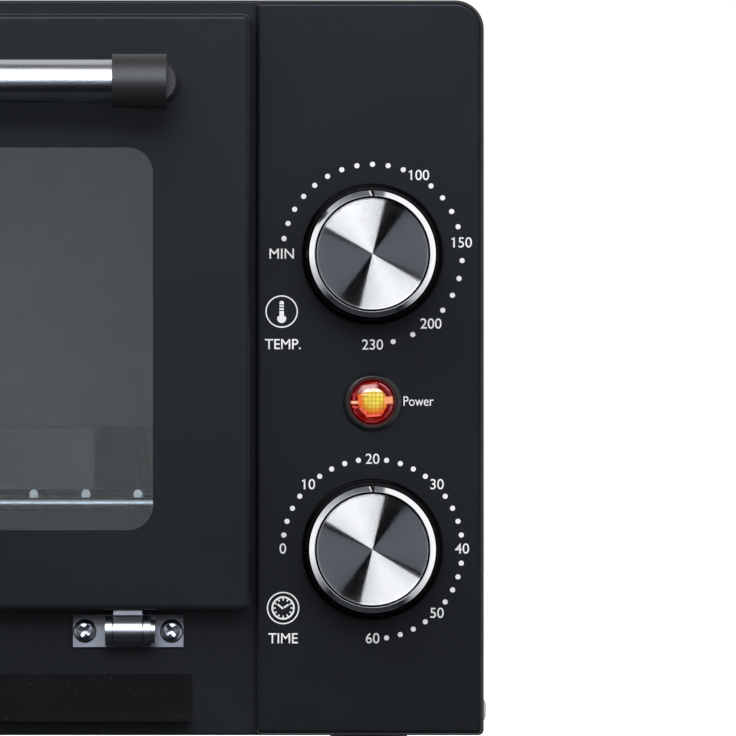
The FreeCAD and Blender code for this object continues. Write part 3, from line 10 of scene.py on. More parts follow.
import bmesh
import bpy
import numpy as np
from bpy.props import FloatProperty, FloatVectorProperty, IntProperty, PointerProperty
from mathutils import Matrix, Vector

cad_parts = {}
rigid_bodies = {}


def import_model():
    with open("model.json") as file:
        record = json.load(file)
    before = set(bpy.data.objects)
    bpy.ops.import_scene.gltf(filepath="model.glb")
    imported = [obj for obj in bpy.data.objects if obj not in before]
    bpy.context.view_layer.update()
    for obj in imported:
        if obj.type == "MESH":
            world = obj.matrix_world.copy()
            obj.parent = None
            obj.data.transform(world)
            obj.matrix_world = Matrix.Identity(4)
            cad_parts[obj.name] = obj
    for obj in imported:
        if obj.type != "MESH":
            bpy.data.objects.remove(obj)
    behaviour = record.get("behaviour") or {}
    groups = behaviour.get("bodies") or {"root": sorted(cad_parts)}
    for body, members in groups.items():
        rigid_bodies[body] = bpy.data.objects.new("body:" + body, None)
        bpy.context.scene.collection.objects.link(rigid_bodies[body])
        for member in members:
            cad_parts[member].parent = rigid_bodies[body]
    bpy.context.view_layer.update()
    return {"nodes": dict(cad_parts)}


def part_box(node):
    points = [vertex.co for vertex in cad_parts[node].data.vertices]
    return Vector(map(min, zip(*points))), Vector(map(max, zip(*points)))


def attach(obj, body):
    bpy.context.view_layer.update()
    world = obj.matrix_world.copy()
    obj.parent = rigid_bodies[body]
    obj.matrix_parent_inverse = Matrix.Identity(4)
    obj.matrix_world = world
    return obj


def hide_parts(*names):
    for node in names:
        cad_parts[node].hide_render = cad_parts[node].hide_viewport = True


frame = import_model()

bl_info = {
    "name": "Mini oven",
    "version": (1, 0, 0),
    "blender": (4, 5, 0),
    "location": "View3D > Sidebar > Oven",
    "description": "Makes the looks of a mini oven round its CAD model",
    "category": "Object",
}

MM = 0.001
TURN = 2 * math.pi


def add_object(name, data):
    item = bpy.data.objects.new(name, data)
    bpy.context.scene.collection.objects.link(item)
    return item


def seat_of(node):
    """Middle of a round CAD node's back, where it meets the panel."""
    low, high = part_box(node)
    return (low.x + high.x) / 2, high.y, (low.z + high.z) / 2


# Colours and nodes
def linear(hex_colour):
    """The linear colour of an sRGB hex value, as red, green, blue and a full alpha."""
    parts = np.array([int(hex_colour[start:start + 2], 16) for start in (1, 3, 5)]) / 255
    curved = ((parts + 0.055) / 1.055) ** 2.4
    return (*np.where(parts <= 0.04045, parts / 12.92, curved).tolist(), 1.0)


def add(tree, kind, inputs=None, **settings):
    """Adds a node with its settings; an input is a value, or the socket that it is linked to."""
    node = tree.nodes.new(kind)
    for name, value in settings.items():
        setattr(node, name, value)
    for name, value in (inputs or {}).items():
        if isinstance(value, bpy.types.NodeSocket):
            tree.links.new(value, node.inputs[name])
        else:
            node.inputs[name].default_value = value
    return node


def material(name, colour, **sockets):
    """A material with a plain shader; gives the material, its tree and its shader."""
    item = bpy.data.materials.new(name)
    item.use_nodes = True
    shader = item.node_tree.nodes["Principled BSDF"]
    shader.inputs["Base Color"].default_value = colour
    for socket, value in sockets.items():
        shader.inputs[socket.replace("_", " ")].default_value = value
    return item, item.node_tree, shader


def calc(tree, operation, *values):
    """The result of a sum on sockets and numbers."""
    return add(tree, "ShaderNodeMath", dict(enumerate(values)), operation=operation).outputs[0]


def spread(tree, value, start, end, low=0.0, high=1.0):
    """A value's place in one range, as a value in another that stops at both ends."""
    inputs = {"Value": value, "From Min": start, "From Max": end, "To Min": low, "To Max": high}
    return add(tree, "ShaderNodeMapRange", inputs).outputs["Result"]


def mix(tree, factor, first, second, kind="MIX"):
    """Two colours mixed by a factor, or multiplied."""
    inputs = {"Factor": factor, "A": first, "B": second}
    return add(tree, "ShaderNodeMix", inputs, data_type="RGBA", blend_type=kind).outputs["Result"]


def blend(tree, factor, first, second):
    """Two shaders mixed by a factor."""
    return add(tree, "ShaderNodeMixShader", {0: factor, 1: first, 2: second}).outputs[0]


def length_of(tree, vector):
    return add(tree, "ShaderNodeVectorMath", {0: vector}, operation="LENGTH").outputs["Value"]


def pattern_place(tree, size_mm, middle=(0, 0, 0), place=None):
    """Object coordinates counted from a middle, in steps of the pattern's size: one, or one a side."""
    sizes = np.broadcast_to(np.multiply(size_mm, MM), 3).tolist()
    place = place or add(tree, "ShaderNodeTexCoord").outputs["Object"]
    inputs = {"Vector": place, "Location": middle, "Scale": sizes}
    return add(tree, "ShaderNodeMapping", inputs, vector_type="TEXTURE").outputs[0]


def tint(tree, shader, factor, dark, light):
    """Base colour between two colours by a factor's socket."""
    tree.links.new(mix(tree, factor, dark, light), shader.inputs["Base Color"])


def roughen(tree, shader, factor, low, high):
    tree.links.new(spread(tree, factor, 0.0, 1.0, low, high), shader.inputs["Roughness"])


def emboss(tree, shader, height, depth_mm):
    """Bump from a height socket of 0 to 1, whose full height is a depth in millimetres."""
    inputs = {"Height": height, "Distance": depth_mm * MM, "Strength": 1.0}
    bump = add(tree, "ShaderNodeBump", inputs)
    tree.links.new(bump.outputs["Normal"], shader.inputs["Normal"])


def noise(tree, place, detail=2.0, roughness=0.5):
    inputs = {"Vector": place, "Scale": 1.0, "Detail": detail, "Roughness": roughness}
    return add(tree, "ShaderNodeTexNoise", inputs).outputs["Fac"]


def shade(colour, share):
    """A colour made darker or lighter by a share of itself."""
    return (*(min(1.0, part * share) for part in colour[:3]), 1.0)


def uneven(name, colour, tones, rough, bump=None, **sockets):
    """A material whose tone, roughness and bump follow noises. A row has its noise's size in mm and
    detail, and what it ranges over: shares of the colour, roughnesses, or a depth in mm.
    """
    item, tree, shader = material(name, colour, **sockets)
    kinds = dict.fromkeys(row[:2] for row in (tones, rough, bump) if row)
    fields = {kind: noise(tree, pattern_place(tree, kind[0]), detail=kind[1]) for kind in kinds}
    tint(tree, shader, fields[tones[:2]], *(shade(colour, share) for share in tones[2:]))
    roughen(tree, shader, fields[rough[:2]], *rough[2:])
    if bump:
        emboss(tree, shader, fields[bump[:2]], bump[2])
    return item


# Materials
def powder_coat(name, colour, roughness=0.32):
    """Polyester powder coat, sprayed and baked: satin, with fine orange peel and an even tone."""
    return uneven(
        name, colour, (38, 3.0, 0.9, 1.1), (38, 3.0, roughness - 0.03, roughness + 0.03),
        (0.9, 1.0, 0.012), Metallic=0.0, IOR=1.5, Specular_IOR_Level=0.12,
    )


def moulded_plastic(name, colour, roughness, grain_mm=0.35, grain_depth=0.01, shine=0.5):
    """Injection-moulded ABS or PBT: the grain is the spark-eroded finish of its mould."""
    return uneven(
        name, colour, (14, 2.0, 0.9, 1.1), (grain_mm, 2.0, roughness - 0.04, roughness + 0.04),
        (grain_mm, 2.0, grain_depth), Metallic=0.0, IOR=1.53, Specular_IOR_Level=shine,
    )


def zinc_plate(name, colour, roughness=0.34):
    """Bright zinc-plated steel: bluish, with the faint cloud of the plating bath."""
    return uneven(
        name, colour, (6, 4.0, 0.82, 1.06), (0.4, 2.0, roughness - 0.06, roughness + 0.08),
        (0.4, 2.0, 0.004), Metallic=1.0,
    )


def aluminised_sheet(name, colour):
    """Hot-dipped aluminised steel sheet: rolling lines along Y over a soft frosted mottle."""
    item, tree, shader = material(name, colour, Metallic=0.6)
    rolled = noise(tree, pattern_place(tree, (0.5, 30, 0.5)))
    mottle = noise(tree, pattern_place(tree, 5), detail=5.0, roughness=0.62)
    tint(tree, shader, mottle, shade(colour, 0.78), shade(colour, 1.05))
    roughen(tree, shader, mottle, 0.34, 0.5)
    emboss(tree, shader, rolled, 0.006)
    return item


def vitreous_enamel(name, colour):
    """Black vitreous enamel, fired on steel: a glassy coat with pale specks of 0.4 mm."""
    item, tree, shader = material(name, colour, Metallic=0.0, IOR=1.52, Coat_Weight=0.6)
    place = pattern_place(tree, 1.6)
    cells = add(tree, "ShaderNodeTexVoronoi", {"Vector": place, "Scale": 1.0}, feature="F1")
    speck = spread(tree, cells.outputs["Distance"], 0.08, 0.14, 1.0, 0.0)
    tint(tree, shader, speck, colour, linear("#3c3e42"))
    wave = noise(tree, pattern_place(tree, 9), detail=1.0)
    roughen(tree, shader, wave, 0.12, 0.2)
    emboss(tree, shader, wave, 0.05)
    return item


def chrome_plate(name, colour, roughness=0.07):
    """Bright chromium plate over nickel: a mirror with hair-fine polishing haze."""
    return uneven(
        name, colour, (2.5, 4.0, 0.95, 1.03), (2.5, 4.0, roughness - 0.02, roughness + 0.04),
        (2.5, 4.0, 0.001), Metallic=1.0,
    )


def brushed_stainless(name, colour):
    """Stainless tube brushed along X: grooves 0.12 mm apart, drawn at 0.3 mm so that they show."""
    groove = (40, 0.3, 0.3), 3.0
    return uneven(name, colour, (*groove, 0.86, 1.05), (*groove, 0.2, 0.36), (*groove, 0.004), Metallic=1.0)


def spun_aluminium(name, colour, reach):
    """Aluminium disc turned on a lathe: the sides of its rings lean in and out, in waves of 0.05 mm,
    and spread a lamp into bright wedges. They lean more near the edge, at the disc's reach. A slower
    change of tone lets some of the rings show.
    """
    item, tree, shader = material(name, colour, Metallic=1.0, Roughness=0.14, Anisotropic=1.0)
    turning = add(tree, "ShaderNodeUVMap", uv_map="turning").outputs["UV"]
    along = add(tree, "ShaderNodeSeparateXYZ", {"Vector": turning}).outputs["X"]
    rings = add(
        tree, "ShaderNodeTexNoise", {"W": along, "Scale": 1 / (0.3 * MM), "Detail": 2.0},
        noise_dimensions="1D",
    ).outputs["Fac"]
    tint(tree, shader, rings, shade(colour, 0.94), shade(colour, 1.03))
    radial = add(tree, "ShaderNodeTangent", direction_type="UV_MAP", uv_map="turning").outputs["Tangent"]
    wave = calc(tree, "SINE", calc(tree, "MULTIPLY", along, TURN / (0.05 * MM)))
    steeper = spread(tree, along, 0.78 * reach, reach, 0.0, 0.12)
    depth = calc(tree, "ADD", spread(tree, rings, 0.0, 1.0, 0.34, 0.42), steeper)
    lean = calc(tree, "MULTIPLY", wave, depth)
    aside = add(tree, "ShaderNodeVectorMath", {0: radial, "Scale": lean}, operation="SCALE")
    facing = add(tree, "ShaderNodeNewGeometry").outputs["Normal"]
    leaning = add(tree, "ShaderNodeVectorMath", {0: facing, 1: aside.outputs[0]}, operation="ADD")
    square = add(tree, "ShaderNodeVectorMath", {0: leaning.outputs[0]}, operation="NORMALIZE")
    tree.links.new(square.outputs[0], shader.inputs["Normal"])
    tree.links.new(radial, shader.inputs["Tangent"])
    return item


def heater_sheath(name, colour):
    """Heat-resisting steel sheath, annealed by use: straw and blue tints drift along the tube."""
    item, tree, shader = material(name, colour, Metallic=1.0)
    drift = noise(tree, pattern_place(tree, (35, 9, 9)), detail=3.0)
    tint(tree, shader, drift, linear("#5b5148"), linear("#8b8a8e"))
    roughen(tree, shader, drift, 0.36, 0.55)
    emboss(tree, shader, drift, 0.02)
    return item


def steatite(name, colour):
    """Steatite ceramic, pressed and fired unglazed: chalky, with a grain of 0.3 mm."""
    return uneven(
        name, colour, (0.3, 3.0, 0.88, 1.04), (0.3, 3.0, 0.6, 0.75), (0.3, 3.0, 0.02),
        Metallic=0.0, IOR=1.55,
    )


def moulded_rubber(name, colour):
    """Moulded black rubber: dull, with a fine bloom."""
    return uneven(
        name, colour, (2.2, 5.0, 0.85, 1.25), (2.2, 5.0, 0.7, 0.85), (2.2, 5.0, 0.02),
        Metallic=0.0, IOR=1.5,
    )


def float_glass(name, colour):
    """Toughened float glass, lightly smoked: flat, with a faint roller wave."""
    item, tree, shader = material(
        name, colour, Metallic=0.0, IOR=1.5, Roughness=0.0, Transmission_Weight=1.0,
    )
    wave = noise(tree, pattern_place(tree, (60, 60, 22)), detail=0.0)
    emboss(tree, shader, wave, 0.004)
    tint(tree, shader, wave, shade(colour, 0.97), shade(colour, 1.03))
    return item


def screen_ink(name, colour):
    """White screen-printed ink: an opaque matt film with the mesh's faint unevenness."""
    return uneven(
        name, colour, (0.25, 1.0, 0.96, 1.02), (0.25, 1.0, 0.5, 0.62), Metallic=0.0, IOR=1.45,
    )


def woven_sleeve(name, colour):
    """Glass-fibre sleeve woven over the wires: a check of yarns 0.5 mm wide."""
    item, tree, shader = material(name, colour, Metallic=0.0, IOR=1.5, Roughness=0.7)
    place = pattern_place(tree, 0.5)
    check = add(tree, "ShaderNodeTexChecker", {"Vector": place, "Scale": 1.0}).outputs["Fac"]
    tint(tree, shader, check, shade(colour, 0.72), shade(colour, 1.06))
    emboss(tree, shader, check, 0.04)
    return item


def drawn_steel(name, colour, roughness=0.28):
    """Cold-drawn or ground steel: fine marks along Y, with a thin film of oil."""
    mark = (0.3, 12, 0.3), 3.0
    return uneven(
        name, colour, (*mark, 0.85, 1.05), (*mark, roughness - 0.05, roughness + 0.08), (*mark, 0.003),
        Metallic=1.0,
    )


def neon_glass(name, colour):
    """Neon bulb: thin glass round a soft orange glow."""
    item, tree, shader = material(name, colour, Metallic=0.0, IOR=1.5, Roughness=0.05)
    haze = noise(tree, pattern_place(tree, 1.5), detail=2.0)
    glow = mix(tree, haze, linear("#ff5a1e"), linear("#ffa05a"))
    tree.links.new(glow, shader.inputs["Emission Color"])
    shader.inputs["Emission Strength"].default_value = 1.0
    return item


LENS_GLOW_AND_REFLECTION_MARKS = (  # the bulb's light caught inside the lens, and painted reflections of the studio; each row: middle, half sizes in mm, turn in degrees, colour
    # painted highlight: the soft box above, mirrored at the dome's upper left, laid over the coat's own
    # reflection of it
    (-0.85, 4.2, 2.1, 0.75, 12, "#bc6c65"),
    (-3.5, 0.7, 0.45, 1.4, 8, "#f4702c"),
    (-4.95, -0.1, 0.95, 0.36, 0, "#ffbf98"),
    (-4.8, -1.4, 0.8, 0.26, -8, "#c84a44"),
    (-5.2, 1.5, 0.26, 0.9, 10, "#a42a36"),
    (-4.4, 1.9, 0.22, 0.8, 20, "#9c1c24"),
    (4.45, 0.5, 1.1, 0.92, 5, "#ffa776"),
    (0.3, -3.75, 1.9, 0.3, 5, "#f8705f"),
    (2.6, -3.0, 0.6, 0.26, 40, "#e85a48"),
    (-2.2, -2.95, 0.62, 0.24, -48, "#f4685c"),
    (-3.2, -2.0, 0.36, 0.3, -40, "#e86458"),
    (-0.2, -5.45, 1.6, 0.12, 0, "#a23a3c"),
    # painted reflection: two thin lines at the upper right, where the dome's edge mirrors the studio
    (2.75, 4.76, 0.9, 0.13, -30, "#d8707c"),
    (4.09, 3.68, 0.9, 0.13, -48, "#c86070"),
    (5.2, -1.66, 0.12, 0.55, -16, "#a84454"),
    (-4.84, -2.9, 0.12, 0.6, 30, "#984048"),
)
CORE_STOPS = (  # share of the lens's radius, and which glow
    (0.0, "core"), (0.3, "core"), (0.54, "middle"), (0.72, "low"), (0.8, "low"),
)
RING_STOPS = (  # the same round the prisms
    (0.0, "edge"), (0.8, "edge"), (0.84, "ring"), (0.88, "edge"), (0.91, "rim"), (0.97, "rim"),
    (0.985, "line"), (1.0, "line"),
)
PRISM_SHIFT, PRISM_GROOVE = (-0.17, 0.25, 0), 0.14  # shares of the prisms' pitch
MARK_FADE = 1.25, 0.8  # where a mark starts and is full, as a share of its half size
POLISH_EDGE, POLISH = (0.78, 0.86), (0.6, 0.1)  # shares of the radius, and the coat's weights there


def lit_lens(name, lamp, colours):
    """Red polycarbonate lens, lit from behind: amber prisms over the bulb, deep red round them, bars of light
    where its inside catches the bulb, and a painted highlight and painted reflections where it mirrors the
    studio.
    """
    item, tree, shader = material(
        name, linear("#1a0202"), Metallic=0.0, IOR=1.58, Roughness=0.1, Specular_IOR_Level=0.1,
        Coat_Roughness=0.03, Coat_IOR=1.7,
    )
    low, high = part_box("lamp_lens")
    middle = (low + high) / 2
    parts = add(tree, "ShaderNodeSeparateXYZ", {"Vector": pattern_place(tree, 1000, middle)}).outputs
    flat = add(tree, "ShaderNodeCombineXYZ", {"X": parts["X"], "Y": parts["Z"]}).outputs[0]
    bulb = pattern_place(tree, 1000, (lamp.glow_aside, lamp.glow_above, 0), flat)
    core = lens_ramp(tree, bulb, lamp, colours, CORE_STOPS)
    rings = lens_ramp(tree, flat, lamp, colours, RING_STOPS)
    pitch = lamp.waffle_pitch
    prisms = add(
        tree, "ShaderNodeTexBrick",
        {"Vector": pattern_place(tree, 1000, [pitch * part for part in PRISM_SHIFT], flat), "Scale": 1.0,
         "Color1": (1, 1, 1, 1), "Color2": (0.78, 0.78, 0.78, 1), "Mortar": (0.46, 0.34, 0.24, 1),
         "Mortar Size": PRISM_GROOVE * pitch, "Mortar Smooth": 1.0, "Brick Width": pitch,
         "Row Height": pitch},
        offset=0.0, squash=1.0,
    )
    lit = mix(tree, 1.0, core, prisms.outputs["Color"], "MULTIPLY")
    away = length_of(tree, flat)
    outside = spread(tree, away, 0.95 * lamp.waffle_reach, 1.05 * lamp.waffle_reach)
    glow = mix(tree, outside, lit, rings)
    # marks over the glow: the bulb's light caught inside, a painted highlight and painted reflections
    for x, z, half_wide, half_high, degrees, hex_colour in LENS_GLOW_AND_REFLECTION_MARKS:
        spot = add(
            tree, "ShaderNodeMapping",
            {"Vector": flat, "Location": (x * MM, z * MM, 0), "Rotation": (0, 0, math.radians(degrees)),
             "Scale": (half_wide * MM, half_high * MM, 1)},
            vector_type="TEXTURE",
        ).outputs[0]
        sides = add(tree, "ShaderNodeVectorMath", {0: spot}, operation="ABSOLUTE").outputs[0]
        sides = add(tree, "ShaderNodeSeparateXYZ", {"Vector": sides}).outputs
        far = calc(tree, "MAXIMUM", sides["X"], sides["Y"])
        glow = mix(tree, spread(tree, far, *MARK_FADE), glow, linear(hex_colour))
    tree.links.new(glow, shader.inputs["Emission Color"])
    shader.inputs["Emission Strength"].default_value = lamp.glow_strength
    start, end = (part * lamp.lens_radius for part in POLISH_EDGE)
    tree.links.new(spread(tree, away, start, end, *POLISH), shader.inputs["Coat Weight"])
    return item


def lens_ramp(tree, flat, lamp, colours, stops):
    """Colour by distance from the middle, as a share of the lens's radius."""
    share = calc(tree, "DIVIDE", length_of(tree, flat), lamp.lens_radius)
    return ramp(tree, share, [(part, (*getattr(colours, f"glow_{glow}"), 1)) for part, glow in stops])


def ramp(tree, factor, stops):
    """A colour ramp from a table of positions and colours."""
    node = add(tree, "ShaderNodeValToRGB", {"Fac": factor})
    elements = node.color_ramp.elements
    while len(elements) < len(stops):
        elements.new(0.5)
    for element, (position, colour) in zip(elements, stops):
        element.position = position
        element.color = colour
    return node.outputs["Color"]


# Surfaces
def skin(points, wrap_rows=False, wrap_columns=True):
    """Quads between neighbouring points of a grid, as rows of point numbers."""
    rows, columns = points.shape[:2]
    numbers = np.arange(rows * columns).reshape(rows, columns)
    if wrap_rows:
        numbers = np.vstack([numbers, numbers[:1]])
    if wrap_columns:
        numbers = np.hstack([numbers, numbers[:, :1]])
    corners = numbers[:-1, :-1], numbers[:-1, 1:], numbers[1:, 1:], numbers[1:, :-1]
    return np.stack([corner.ravel() for corner in corners], axis=1)


def closed_grid(points):
    """A tube-like grid with both ends closed by poles, as (points, quads, triangles)."""
    rows, columns = points.shape[:2]
    numbers = np.arange(columns)
    after = np.roll(numbers, -1)
    base, poles = (rows - 1) * columns, rows * columns
    triangles = np.vstack([
        np.stack([after, numbers, np.full(columns, poles)], axis=1),
        np.stack([base + numbers, base + after, np.full(columns, poles + 1)], axis=1),
    ])
    ends = [points[0].mean(axis=0), points[-1].mean(axis=0)]
    return np.vstack([points.reshape(-1, 3), ends]), skin(points), triangles


def ring_grid(points):
    """A grid that closes on itself both ways, such as a turned ring."""
    return points.reshape(-1, 3), skin(points, wrap_rows=True), np.zeros((0, 3), int)


def join(shapes):
    """Several (points, quads, triangles) as one."""
    starts = np.cumsum([0] + [len(shape[0]) for shape in shapes])
    faces = (
        np.vstack([shape[part] + start for shape, start in zip(shapes, starts)]) for part in (1, 2)
    )
    return np.vstack([shape[0] for shape in shapes]), *faces


def outward(shape):
    """The shape with its faces turned outwards, by the sign of its volume."""
    points, quads, triangles = shape
    halves = np.vstack([quads[:, [0, 1, 2]], quads[:, [0, 2, 3]], triangles])
    a, b, c = (points[halves[:, corner]] for corner in range(3))
    if np.einsum("ij,ij->", a, np.cross(b, c)) < 0:
        return points, quads[:, ::-1], triangles[:, ::-1]
    return shape


def make_piece(name, shape, finish, body, replaced=(), crease=38):
    """A mesh object from (points, quads, triangles), with its finish, body and replaced nodes."""
    points, quads, triangles = outward(shape)
    mesh = bpy.data.meshes.new(name)
    sizes = np.concatenate([np.full(len(quads), 4), np.full(len(triangles), 3)])
    corners = np.concatenate([quads.ravel(), triangles.ravel()])
    mesh.vertices.add(len(points))
    mesh.vertices.foreach_set("co", np.asarray(points, np.float32).ravel())
    mesh.loops.add(len(corners))
    mesh.loops.foreach_set("vertex_index", corners.astype(np.int32))
    mesh.polygons.add(len(sizes))
    mesh.polygons.foreach_set("loop_start", (np.cumsum(sizes) - sizes).astype(np.int32))
    mesh.update(calc_edges=True)
    mesh.validate()
    mesh.polygons.foreach_set("use_smooth", np.ones(len(sizes), bool))
    mesh.set_sharp_from_angle(angle=math.radians(crease))
    mesh.materials.append(finish)
    piece = add_object(name, mesh)
    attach(piece, body)
    if replaced:
        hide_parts(*replaced)
    return piece


def round_steps(count):
    """Even angles once round."""
    return np.arange(count) * TURN / count


def read(items, field, width=1, kind=np.int32):
    """One field of a mesh's parts, as an array."""
    values = np.zeros(len(items) * width, kind)
    items.foreach_get(field, values)
    return values


def points_of(mesh):
    return read(mesh.vertices, "co", 3, float).reshape(-1, 3)


def eased(corners, cuts, steps=6):
    """An outline whose corners are curves: each is a parabola between points a cut away from it."""
    corners = np.asarray(corners, float)
    before = corners - np.roll(corners, 1, axis=0)
    after = np.roll(corners, -1, axis=0) - corners
    before /= np.linalg.norm(before, axis=1, keepdims=True)
    after /= np.linalg.norm(after, axis=1, keepdims=True)
    cuts = np.asarray(cuts, float)[:, None]
    first, last = corners - before * cuts, corners + after * cuts
    t = np.linspace(0, 1, steps)[None, :, None]
    curve = (1 - t) ** 2 * first[:, None] + 2 * t * (1 - t) * corners[:, None] + t**2 * last[:, None]
    return curve.reshape(-1, 2)


def turned(outline, centre, angles):
    """The outline (radius, height) turned about -Y: x and z from the angle, y from the height."""
    radius, height = outline[:, :1], outline[:, 1:]
    x = centre[0] + radius * np.cos(angles)
    y = centre[1] - height + 0 * angles
    z = centre[2] + radius * np.sin(angles)
    return np.stack([x, y, z], axis=2)


def set_turning(piece, rows, columns):
    """A UV map whose U runs along the profile and V round the axis, for a grid with poles."""
    mesh = piece.data
    vertices = read(mesh.loops, "vertex_index")
    places = points_of(mesh)[:, [0, 2]]
    flat = places - places[rows * columns:].mean(axis=0)
    radius = np.linalg.norm(flat, axis=1)
    turn = np.arctan2(flat[:, 1], flat[:, 0]) / TURN
    starts, totals = (read(mesh.polygons, field) for field in ("loop_start", "loop_total"))
    owner = np.repeat(np.arange(len(starts)), totals)
    values = turn[vertices]
    pole = vertices >= rows * columns
    first = values[starts[owner]]
    first = np.where(pole[starts[owner]], values[starts[owner] + 1], first)
    values = values - np.round(values - first)
    values = np.where(pole, first, values)
    layer = mesh.uv_layers.new(name="turning")
    layer.data.foreach_set("uv", np.stack([radius[vertices], values], axis=1).astype(np.float32).ravel())


def swept(path, radius, sides, side):
    """A round wire along a path: circles in the plane of a side vector and its normal."""
    along = np.gradient(path, axis=0)
    along /= np.linalg.norm(along, axis=1, keepdims=True)
    side = side - along * np.sum(side * along, axis=1, keepdims=True)
    side /= np.linalg.norm(side, axis=1, keepdims=True)
    other = np.cross(along, side)
    angles = round_steps(sides)
    ring = np.cos(angles)[None, :, None] * side[:, None] + np.sin(angles)[None, :, None] * other[:, None]
    return path[:, None] + radius * ring


# Sizes and colours
def length(name, description, millimetres):
    return FloatProperty(
        name=name, description=description, default=millimetres * MM, unit="LENGTH", subtype="DISTANCE",
    )


def colour(name, description, hex_colour):
    return FloatVectorProperty(
        name=name, description=description, default=linear(hex_colour)[:3], subtype="COLOR", min=0, max=1,
    )


class OvenColours(bpy.types.PropertyGroup):
    paint: colour("Paint", "Powder coat of the casing and the door", "#1d2024")
    panel: colour("Panel", "Powder coat of the control panel", "#1a1d21")
    ink: colour("Ink", "Printing on the control panel", "#ffffff")
    black: colour("Black", "Gloss plastic of the knobs' skirts", "#040405")
    glow_core: colour("Glow core", "Lens over the bulb", "#ffe65e")
    glow_middle: colour("Glow middle", "Lens round the bulb", "#fb9c38")
    glow_low: colour("Glow low", "Lens at the prisms' edge", "#ee5630")
    glow_edge: colour("Glow edge", "Lens outside the prisms", "#700201")
    glow_ring: colour("Glow ring", "Faint ring in the lens", "#8c1614")
    glow_rim: colour("Glow rim", "Lens at its edge", "#2c0005")
    glow_line: colour("Glow line", "Light caught in the lens's edge", "#74403e")


class OvenKnobs(bpy.types.PropertyGroup):
    columns: IntProperty(name="Columns", description="Steps round a turned knob piece", default=240)
    cap_radius: length("Cap radius", "Spun face of a knob", 15.45)
    cap_level: length("Cap level", "Spun face in front of the knob's back", 18.5)
    rim_radius: length("Rim radius", "Outside of the polished rim", 17.55)
    rim_inner: length("Rim inner radius", "Inside of the polished rim", 15.95)
    rim_level: length("Rim level", "Front of the rim", 19.3)
    rim_slope: length("Rim slope", "Depth of the rim's bevel", 1.04)
    notch_width: length("Notch width", "Pointer notch in the rim", 1.2)
    notch_depth: length("Notch depth", "Pointer notch in the rim", 1.0)


class OvenLamp(bpy.types.PropertyGroup):
    lens_radius: length("Lens radius", "Pilot lamp's lens", 6.5)
    lens_rise: length("Lens rise", "Height of the lens's dome", 4.4)
    waffle_pitch: length("Waffle pitch", "Prisms on the lens", 1.1)
    waffle_depth: length("Waffle depth", "Grooves between the prisms", 0.02)
    waffle_reach: length("Waffle reach", "Radius that the prisms cover", 4.0)
    glow_aside: length("Glow aside", "Bulb's light to the right of the middle", 0.4)
    glow_above: length("Glow above", "Bulb's light above the middle", 1.0)
    glow_strength: FloatProperty(name="Glow", description="Strength of the lens's light", default=1.0)


class OvenPrint(bpy.types.PropertyGroup):
    film: length("Film", "Thickness of the printed ink", 0.03)
    scale_radius: length("Scale radius", "Dots round a knob", 24.93)
    dot_radius: length("Dot radius", "One dot of a scale", 0.72)
    figure_height: length("Figure height", "Capital height of figures and words", 2.95)
    ring_radius: length("Ring radius", "Outside of a pictogram's ring", 4.5)
    stroke: length("Stroke", "Line width of a pictogram's ring", 0.36)


class OvenScrews(bpy.types.PropertyGroup):
    head_radius: length("Head radius", "Pan head of a screw", 3.2)
    head_rise: length("Head rise", "Pan head above its seat", 1.8)
    recess_depth: length("Recess depth", "Cross recess in a head", 1.3)
    shank_radius: length("Shank radius", "Shank of a screw", 1.7)
    screw_length: length("Screw length", "Shank from the seat to its tip", 7.0)


class OvenStage(bpy.types.PropertyGroup):
    camera_distance: length("Camera distance", "Camera in front of the control panel", 6000)
    view_middle: length("View middle", "Camera to the right of the middle", 148.85)
    view_height: length("View height", "Camera above the table", 114.93)
    view_field: length("View field", "Width that the picture covers at the panel", 204.16)
    floor_half: length("Floor", "Half the floor's width", 6000)


# Stage
FRONT_BOX = (  # the soft box that both of the next two see
    (76.6, 0.0), (78, 0.72), (95, 0.88), (110, 1.0), (127, 1.0), (138, 0.87), (148.3, 0.81),
    (149.6, 0.0),
)
FACE_LIGHT = (  # studio round the front, by degrees anticlockwise from the right
    (0, 0.053), (52.5, 0.05), (55, 0.0), *FRONT_BOX, (156, 0.0), (157.5, 0.048), (190, 0.053), (220, 0.049),
    (231, 0.047), (233.5, 0.0), (334, 0.0), (335.5, 0.044), (359, 0.053),
)
EDGE_LIGHT = (  # the same for what the edge of a turned face mirrors
    (0, 0.031), (25, 0.045), (40, 0.05), (46, 0.04), (52, 0.0), *FRONT_BOX, (156, 0.0), (158, 0.028),
    (190, 0.031), (215, 0.031), (224, 0.03), (229, 0.0), (334, 0.0), (336, 0.024), (359, 0.031),
)
RIM_LIGHT = (  # what lies level with the front, by the same degrees
    (0, 1.0), (77.5, 0.97), (79, 0.15), (105, 0.14), (120, 0.28), (130, 0.46), (142, 0.6), (155, 0.9),
    (180, 1.0), (190, 0.8), (204, 0.5), (215, 0.2), (224, 0.02), (236, 0.035), (293, 0.03), (296, 0.004),
    (300, 0.02), (305, 0.13), (311, 0.42), (322, 0.66), (337, 0.9), (350, 1.0),
)


FLOOR_FADE, FLOOR_WHITE = (0.3, 1.2), (0.6, 0.92)  # metres from the middle, and how bright it is there
BOARD_HALF, BOARD_GAP, BOARD_RISE = 900 * MM, 0.2 * MM, 250 * MM  # half width, over the cover, height


def studio_ramp(tree, share, stops, level):
    """Light by azimuth, from a table of degrees and shares of a level."""
    cool = [(degrees / 360, (part**1.03, part, part**0.96, 1)) for degrees, part in stops]
    return mix(tree, 1.0, ramp(tree, share, cool), (level, level, level, 1), "MULTIPLY")


LAMPS, SHEEN = "out_of_the_lamps", "out_of_the_sheen"  # what the soft boxes and the sheen box leave out


def left_out(lamps):
    """The collection of what some lamps leave out, as their light linking takes it."""
    return bpy.data.collections.get(lamps) or bpy.data.collections.new(lamps)


def leave_out(piece, *groups):
    for lamps in groups:
        group = left_out(lamps)
        group.objects.link(piece)
        group.collection_objects[len(group.objects) - 1].light_linking.link_state = "EXCLUDE"


